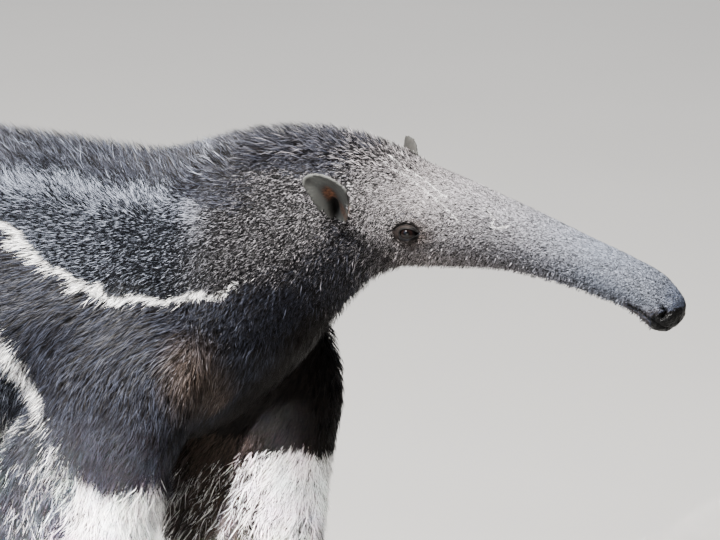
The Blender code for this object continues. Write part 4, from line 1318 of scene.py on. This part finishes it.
def grow_coat(name, material, seed, share, locks, each, long, rise, wide, steps=3,
              spread=0.0035, gather=0.75, stray=0.10, curl=0.25, lie=lie_ways, roll=0.6, even=0.35):
    """One piece of coat: locks of a few hairs each, whose tips draw together."""
    random = np.random.default_rng(seed)
    roots, outward = scatter(random, share, locks)
    length, height, breadth = long(roots), rise(roots), wide(roots)
    vary = random.uniform(0.75, 1.15, locks)
    path, ups = lead(roots, outward, length * vary, height, steps, lie, random.normal(0, curl, locks))
    lock = np.repeat(np.arange(locks), each)
    count = len(lock)
    way = unit(path[1] - path[0])
    cross = unit(np.cross(ups[0], way))
    angle, reach = random.uniform(0, 6.283, count), np.sqrt(random.uniform(0, 1, count)) * spread
    offset = way[lock] * (np.cos(angle) * reach)[:, None] + cross[lock] * (np.sin(angle) * reach)[:, None]
    drift = cross[lock] * random.normal(0, stray, count)[:, None]
    lift = random.normal(0, stray * 0.35, count)
    full = length[lock][:, None]
    share_of = random.uniform(1 - even, 1.0, count)
    hairs, hair_ups = [], []
    for k in range(steps + 1):
        at = k / steps * share_of * steps
        low = np.minimum(at.astype(int), steps - 1)
        part = (at - low)[:, None]
        line = path[low, lock] * (1 - part) + path[low + 1, lock] * part
        up = ups[low, lock] * (1 - part) + ups[low + 1, lock] * part
        t = k / steps
        line = line + offset * (1 - gather * t) + drift * full * t * t
        line = line + up * (lift * length[lock] * t * t)[:, None].clip(-0.0010, None)
        hairs.append(line)
        hair_ups.append(up)
    hairs, hair_ups = np.array(hairs), np.array(hair_ups)
    hairs[:, :, 2] = np.maximum(hairs[:, :, 2], 0.0008)
    rolled = random.uniform(-roll, roll, count)[:, None]
    sides = []
    for k in range(steps):
        run = unit(hairs[min(k + 1, steps)] - hairs[max(k - 1, 0)])
        flat = unit(np.cross(run, hair_ups[k]))
        sides.append(flat * np.cos(rolled) + hair_ups[k] * np.sin(rolled))
    hair_roots = hairs[0]
    u, v = unwrap(hair_roots)
    shades = random.uniform(0, 1, (count, 2))
    shades[:, 0] = 0.80 * shades[:, 0] + 0.20 * random.uniform(0, 1, locks)[lock]
    breadths = breadth[lock] * random.uniform(0.7, 1.25, count)
    own = marks(hair_roots)
    picked = random.uniform(0, 1, (2, count))
    own[:, 0] = np.where(picked[0] < own[:, 0], 1.0, 0.0)
    own[:, 1] = np.where(picked[1] < own[:, 1], np.maximum(own[:, 1], 0.85), own[:, 1] * 0.25)
    mesh = ribbon_mesh(name, hairs, np.array(sides), breadths, np.column_stack((u, v)), own, shades)
    piece = mesh_object(name, mesh, material)
    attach(piece, "root")
    return piece


mid_x, mid_y, mid_z = tri_middle.T
mid_local = one_sided(tri_middle)
mid_zones = skin_zones(tri_middle, unit(np.cross(tri_b - tri_a, tri_c - tri_a)))
lid_spots = eye_cover(tri_middle)[1]
by_lids = np.hypot((lid_spots[:, 0] + 0.0010) / 0.0150, (lid_spots[:, 1] - 0.0010) / 0.0125) < 1
bare = np.clip(mid_zones[:, 0] + mid_zones[:, 1] + by_lids + (mid_zones[:, 3] > 0.8), 0, 1)
for side in (-1, 1):
    tall, fore, out = in_ear(tri_middle, side)
    bare[(tall > 12) & (np.abs(fore) < 32) & (out > -12) & (out < 34)] = 1
    rear_fore = np.interp(tall, [b for _, b in EAR_REAR], [a for a, _ in EAR_REAR])
    front_fore = np.interp(tall, [b for _, b in EAR_FRONT], [a for a, _ in EAR_FRONT])
    bare[(tall > -20) & (tall <= 12) & (fore > rear_fore - 3) & (fore < front_fore + 1) & (np.abs(out) < 34)] = 1
furred = 1 - bare
near_side = np.where(mid_y < -0.0035 - np.interp(mid_x, [0.55, 0.98], [0, 0.05]), 1.0, 0.0)
face_hair = hair_material("face_hair", 0.55, 0.10, 3.0, 0.15, 0.8)
neck_hair = hair_material("neck_hair", 0.5, 0.08, 2.3, 0.25, 1.2)
body_hair = hair_material("body_hair", 0.42, 0.07, 3.4, 0.35, 1.5)
crest_hair = hair_material("crest_hair", 0.5, 0.06, 2.9, 1.8, 0.3)
tail_hair = hair_material("tail_hair", 0.5, 0.10, 1.8, 0.2, 2.0)


def by_ear(roots):
    """Shortens the hairs that grow round the foot of an ear."""
    gap = np.linalg.norm((one_sided(roots) - EAR_ROOT) / (1, 1, 1.2), axis=1)
    return 0.45 + 0.55 * smooth_step(0.020, 0.034, gap)


def steady(value):
    return lambda roots: np.full(len(roots), value)


def along_x(xs, values):
    return lambda roots: np.interp(roots[:, 0], xs, values)


# Face: very short, flat, salt-and-pepper hairs all pointing back from the nose, so small
# that the forms of the cheek, brow and snout show through them.
on_face = smooth_step(0.228, 0.242, mid_local[:, 0])
by_eye = np.minimum(*[np.linalg.norm(mid_local - EYE_ROOT, axis=1)] * 2) < 0.024
grow_coat("face_coat", face_hair, 21,
          on_face * furred * (0.45 + 0.75 * near_side + 0.5 * by_eye), 62000, 3,
          long=lambda r: np.interp(r[:, 0], [0.66, 0.72, 0.85, 0.97], [0.0050, 0.0040, 0.0034, 0.0027])
          * np.where(np.linalg.norm(one_sided(r) - EYE_ROOT, axis=1) < 0.024, 0.6, 1.0)
          * np.where(scratch_gap(r) < 0.0008, 0.30, 1.0)
          * np.where((side_gap(one_sided(r), MOUTH) < 0.008) & (r[:, 0] > 0.9), 0.5, 1.0),
          rise=along_x([0.66, 0.72, 0.97], [0.0022, 0.0012, 0.0005]),
          wide=along_x([0.66, 0.72, 0.97], [0.00066, 0.00062, 0.00058]),
          steps=1, spread=0.0018, gather=0.1, stray=0.22, curl=0.3, roll=0.5)

# Scratches: thin lines of white hairs that grew over old scratches, from the brow towards the
# snout. The hairs lie along each line on top of the rest.
scratched = np.exp(-((scratch_gap(tri_middle) / 0.0011) ** 2)) * (mid_local[:, 1] > 0.008) * near_side


def along_scratch(points, normals):
    way = turned_out(np.array([(-0.90, 0.12, 0.43)]))[0]
    ways = np.tile(way, (len(points), 1))
    return unit(ways - normals * np.sum(ways * normals, axis=1)[:, None])


grow_coat("scratch_hairs", face_hair, 33, scratched * (scratch_gap(tri_middle) < 0.0014), 3000, 1,
          long=lambda r: np.where(scratch_gap(r) < 0.00022, 0.0026, 0.0003), rise=steady(0.0012),
          wide=lambda r: np.where(scratch_gap(r) < 0.00022, 0.00034, 0.00010), steps=1, spread=0.0001,
          gather=0.1, stray=0.03, curl=0.05, roll=0.2, lie=along_scratch)

# Crown and neck: short dense hairs behind the brow and ears, darker over the nape, which
# lengthen to the whitish swirl where the neck meets the shoulders.
on_neck = (1 - smooth_step(0.224, 0.240, mid_local[:, 0])) * smooth_step(0.470, 0.495, mid_x)
low_neck = smooth_step(0.47, 0.44, mid_z) * (mid_x < 0.62)
for name, seed, side_share, locks in (
    ("near_neck_coat", 22, near_side, 21500), ("far_neck_coat", 31, 1 - near_side, 7000),
):
    grow_coat(name, neck_hair, seed,
              on_neck * furred * side_share * (1 - 0.6 * low_neck), locks, 3,
              long=lambda r: by_ear(r) * np.interp(r[:, 0], [0.47, 0.52, 0.58, 0.66], [0.013, 0.0080, 0.0062, 0.0046]),
              rise=lambda r: by_ear(r) * np.interp(r[:, 0], [0.47, 0.52, 0.58, 0.66], [0.009, 0.0062, 0.0046, 0.0024]),
              wide=steady(0.00058 if seed == 22 else 0.0012), steps=2, spread=0.0024, gather=0.30,
              stray=0.18, curl=0.3)

# Shoulder and flank coat: long coarse grizzled hairs that stream down and back in locks,
# long black ones in the wedge, and white ones along its edges.
trunk_x = (1 - smooth_step(0.475, 0.500, mid_x) * (mid_z > 0.44)) * smooth_step(-0.23, -0.20, mid_x)
above_leg = smooth_step(0.285, 0.31, mid_z)
below_stripe = smooth_step(-0.004, 0.012, level(mid_x, STRIPE) - mid_z)
shoulders = smooth_step(0.19, 0.22, mid_x) * trunk_x * above_leg
facing_near = (unit(np.cross(tri_b - tri_a, tri_c - tri_a))[:, 1] < 0.2) * (mid_x > 0.43) * (mid_z < 0.46)
body_rise = along_x([-0.2, 0.1, 0.3, 0.45, 0.52], [0.018, 0.016, 0.014, 0.0115, 0.009])
for name, seed, share, locks, each, long, wide in (
    ("near_shoulder_coat", 23, shoulders * near_side * (1 - below_stripe), 21500, 3,
     along_x([0.2, 0.3, 0.45, 0.5], [0.020, 0.016, 0.0130, 0.011]), steady(0.00062)),
    ("near_wedge_coat", 28, shoulders * near_side * below_stripe, 20500, 3,
     along_x([0.2, 0.3, 0.5], [0.030, 0.027, 0.022]), steady(0.00075)),
    ("far_shoulder_coat", 24, shoulders * (1 - near_side) * (1 + 6 * facing_near), 5000, 4,
     along_x([0.2, 0.5], [0.034, 0.024]), steady(0.0016)),
    ("flank_coat", 25, (1 - smooth_step(0.19, 0.22, mid_x)) * trunk_x * smooth_step(0.25, 0.30, mid_z), 6600, 4,
     along_x([-0.2, 0.1, 0.2], [0.070, 0.050, 0.038]), along_x([-0.2, 0.2], [0.0024, 0.0017])),
):
    grow_coat(name, body_hair, seed, share, locks, each, long=long, rise=body_rise,
              wide=wide, steps=2 if seed in (23, 28) else 3, spread=0.0036, gather=0.30, stray=0.09, curl=0.14)

# Crest: stiffer hairs that stand up along the nape and the middle of the back, dark at the
# root and whitish at the tip.
ridge = smooth_step(0.62, 0.90, unit(np.cross(tri_b - tri_a, tri_c - tri_a))[:, 2])
on_ridge = ridge * smooth_step(0.57, 0.60, mid_z) * smooth_step(-0.15, 0.0, mid_x) * (1 - smooth_step(0.66, 0.72, mid_x))
grow_coat("crest_coat", crest_hair, 29, on_ridge * furred, 5500, 3,
          long=along_x([0.0, 0.45, 0.55, 0.62, 0.70], [0.036, 0.022, 0.019, 0.013, 0.006]),
          rise=along_x([0.0, 0.45, 0.55, 0.62, 0.70], [0.028, 0.0205, 0.0180, 0.0120, 0.004]),
          wide=steady(0.0007), steps=2, spread=0.0022, gather=0.3, stray=0.16, curl=0.3)

# Fringe: sparse dark bristles that stand out under the snout, the jaw and the throat.
under_way = -unit(np.cross(tri_b - tri_a, tri_c - tri_a))[:, 2]
under_head = smooth_step(0.30, 0.75, under_way) * smooth_step(0.57, 0.61, mid_x) * (mid_local[:, 0] < 0.535)


def bristle_ways(points, normals):
    ways = np.tile((-0.55, 0.0, -0.85), (len(points), 1)) + normals * 0.2
    return unit(ways - normals * (np.sum(ways * normals, axis=1) * 0.9)[:, None])


grow_coat("fringe_coat", neck_hair, 32, under_head * furred, 3200, 2,
          long=along_x([0.58, 0.66, 0.72, 0.97], [0.013, 0.009, 0.0045, 0.0035]),
          rise=along_x([0.58, 0.66, 0.72, 0.97], [0.0105, 0.0075, 0.0038, 0.0030]),
          wide=steady(0.0007), steps=2, spread=0.0025, gather=0.2, stray=0.2, curl=0.3, lie=bristle_ways)

# Legs: short close hairs running down to the toes, white on the forelegs with a black band
# at the wrist, nearly black on the hind legs.
fore_zone = (mid_z < 0.31) & (mid_x > 0.24)
hind_zone = (mid_z < 0.30) & (mid_x > -0.24) & (mid_x < 0.2)
leg_long = lambda r: np.interp(r[:, 2], [0, 0.03, 0.1, 0.18, 0.3], [0.005, 0.009, 0.016, 0.028, 0.034])
leg_rise = lambda r: (np.interp(r[:, 2], [0, 0.03, 0.1, 0.3], [0.0008, 0.002, 0.004, 0.009])
                      + 0.013 * smooth_step(0.12, 0.20, r[:, 2]) * np.where(r[:, 1] < 0, r[:, 0] > 0.425, r[:, 0] < 0.43))
for name, seed, zone_share, locks, wide in (
    ("foreleg_coat", 26, fore_zone * (0.6 + 0.8 * smooth_step(0.2, 0.26, mid_z)), 15500, 0.0011),
    ("hind_leg_coat", 30, hind_zone * 1.0, 7400, 0.0018),
):
    grow_coat(name, body_hair, seed, zone_share, locks, 3,
              long=leg_long, rise=leg_rise, wide=steady(wide), steps=2, spread=0.003, gather=0.45,
              stray=0.12, curl=0.25)

# Tail brush: hairs up to a quarter of a metre, coarse and straight, that leave the tail on
# all sides, trail back and hang down in a flag.
tail_zone = 1 - smooth_step(-0.23, -0.20, mid_x)
grow_coat("tail_coat", tail_hair, 27, tail_zone, 5900, 4,
          long=along_x([-0.95, -0.8, -0.5, -0.3, -0.2], [0.05, 0.13, 0.17, 0.12, 0.08]),
          rise=along_x([-0.98, -0.88, -0.74, -0.58, -0.42, -0.29, -0.2],
                       [0.006, 0.012, 0.024, 0.033, 0.031, 0.022, 0.017]),
          wide=steady(0.0034), steps=4, spread=0.008, gather=0.6, stray=0.05, curl=0.15)
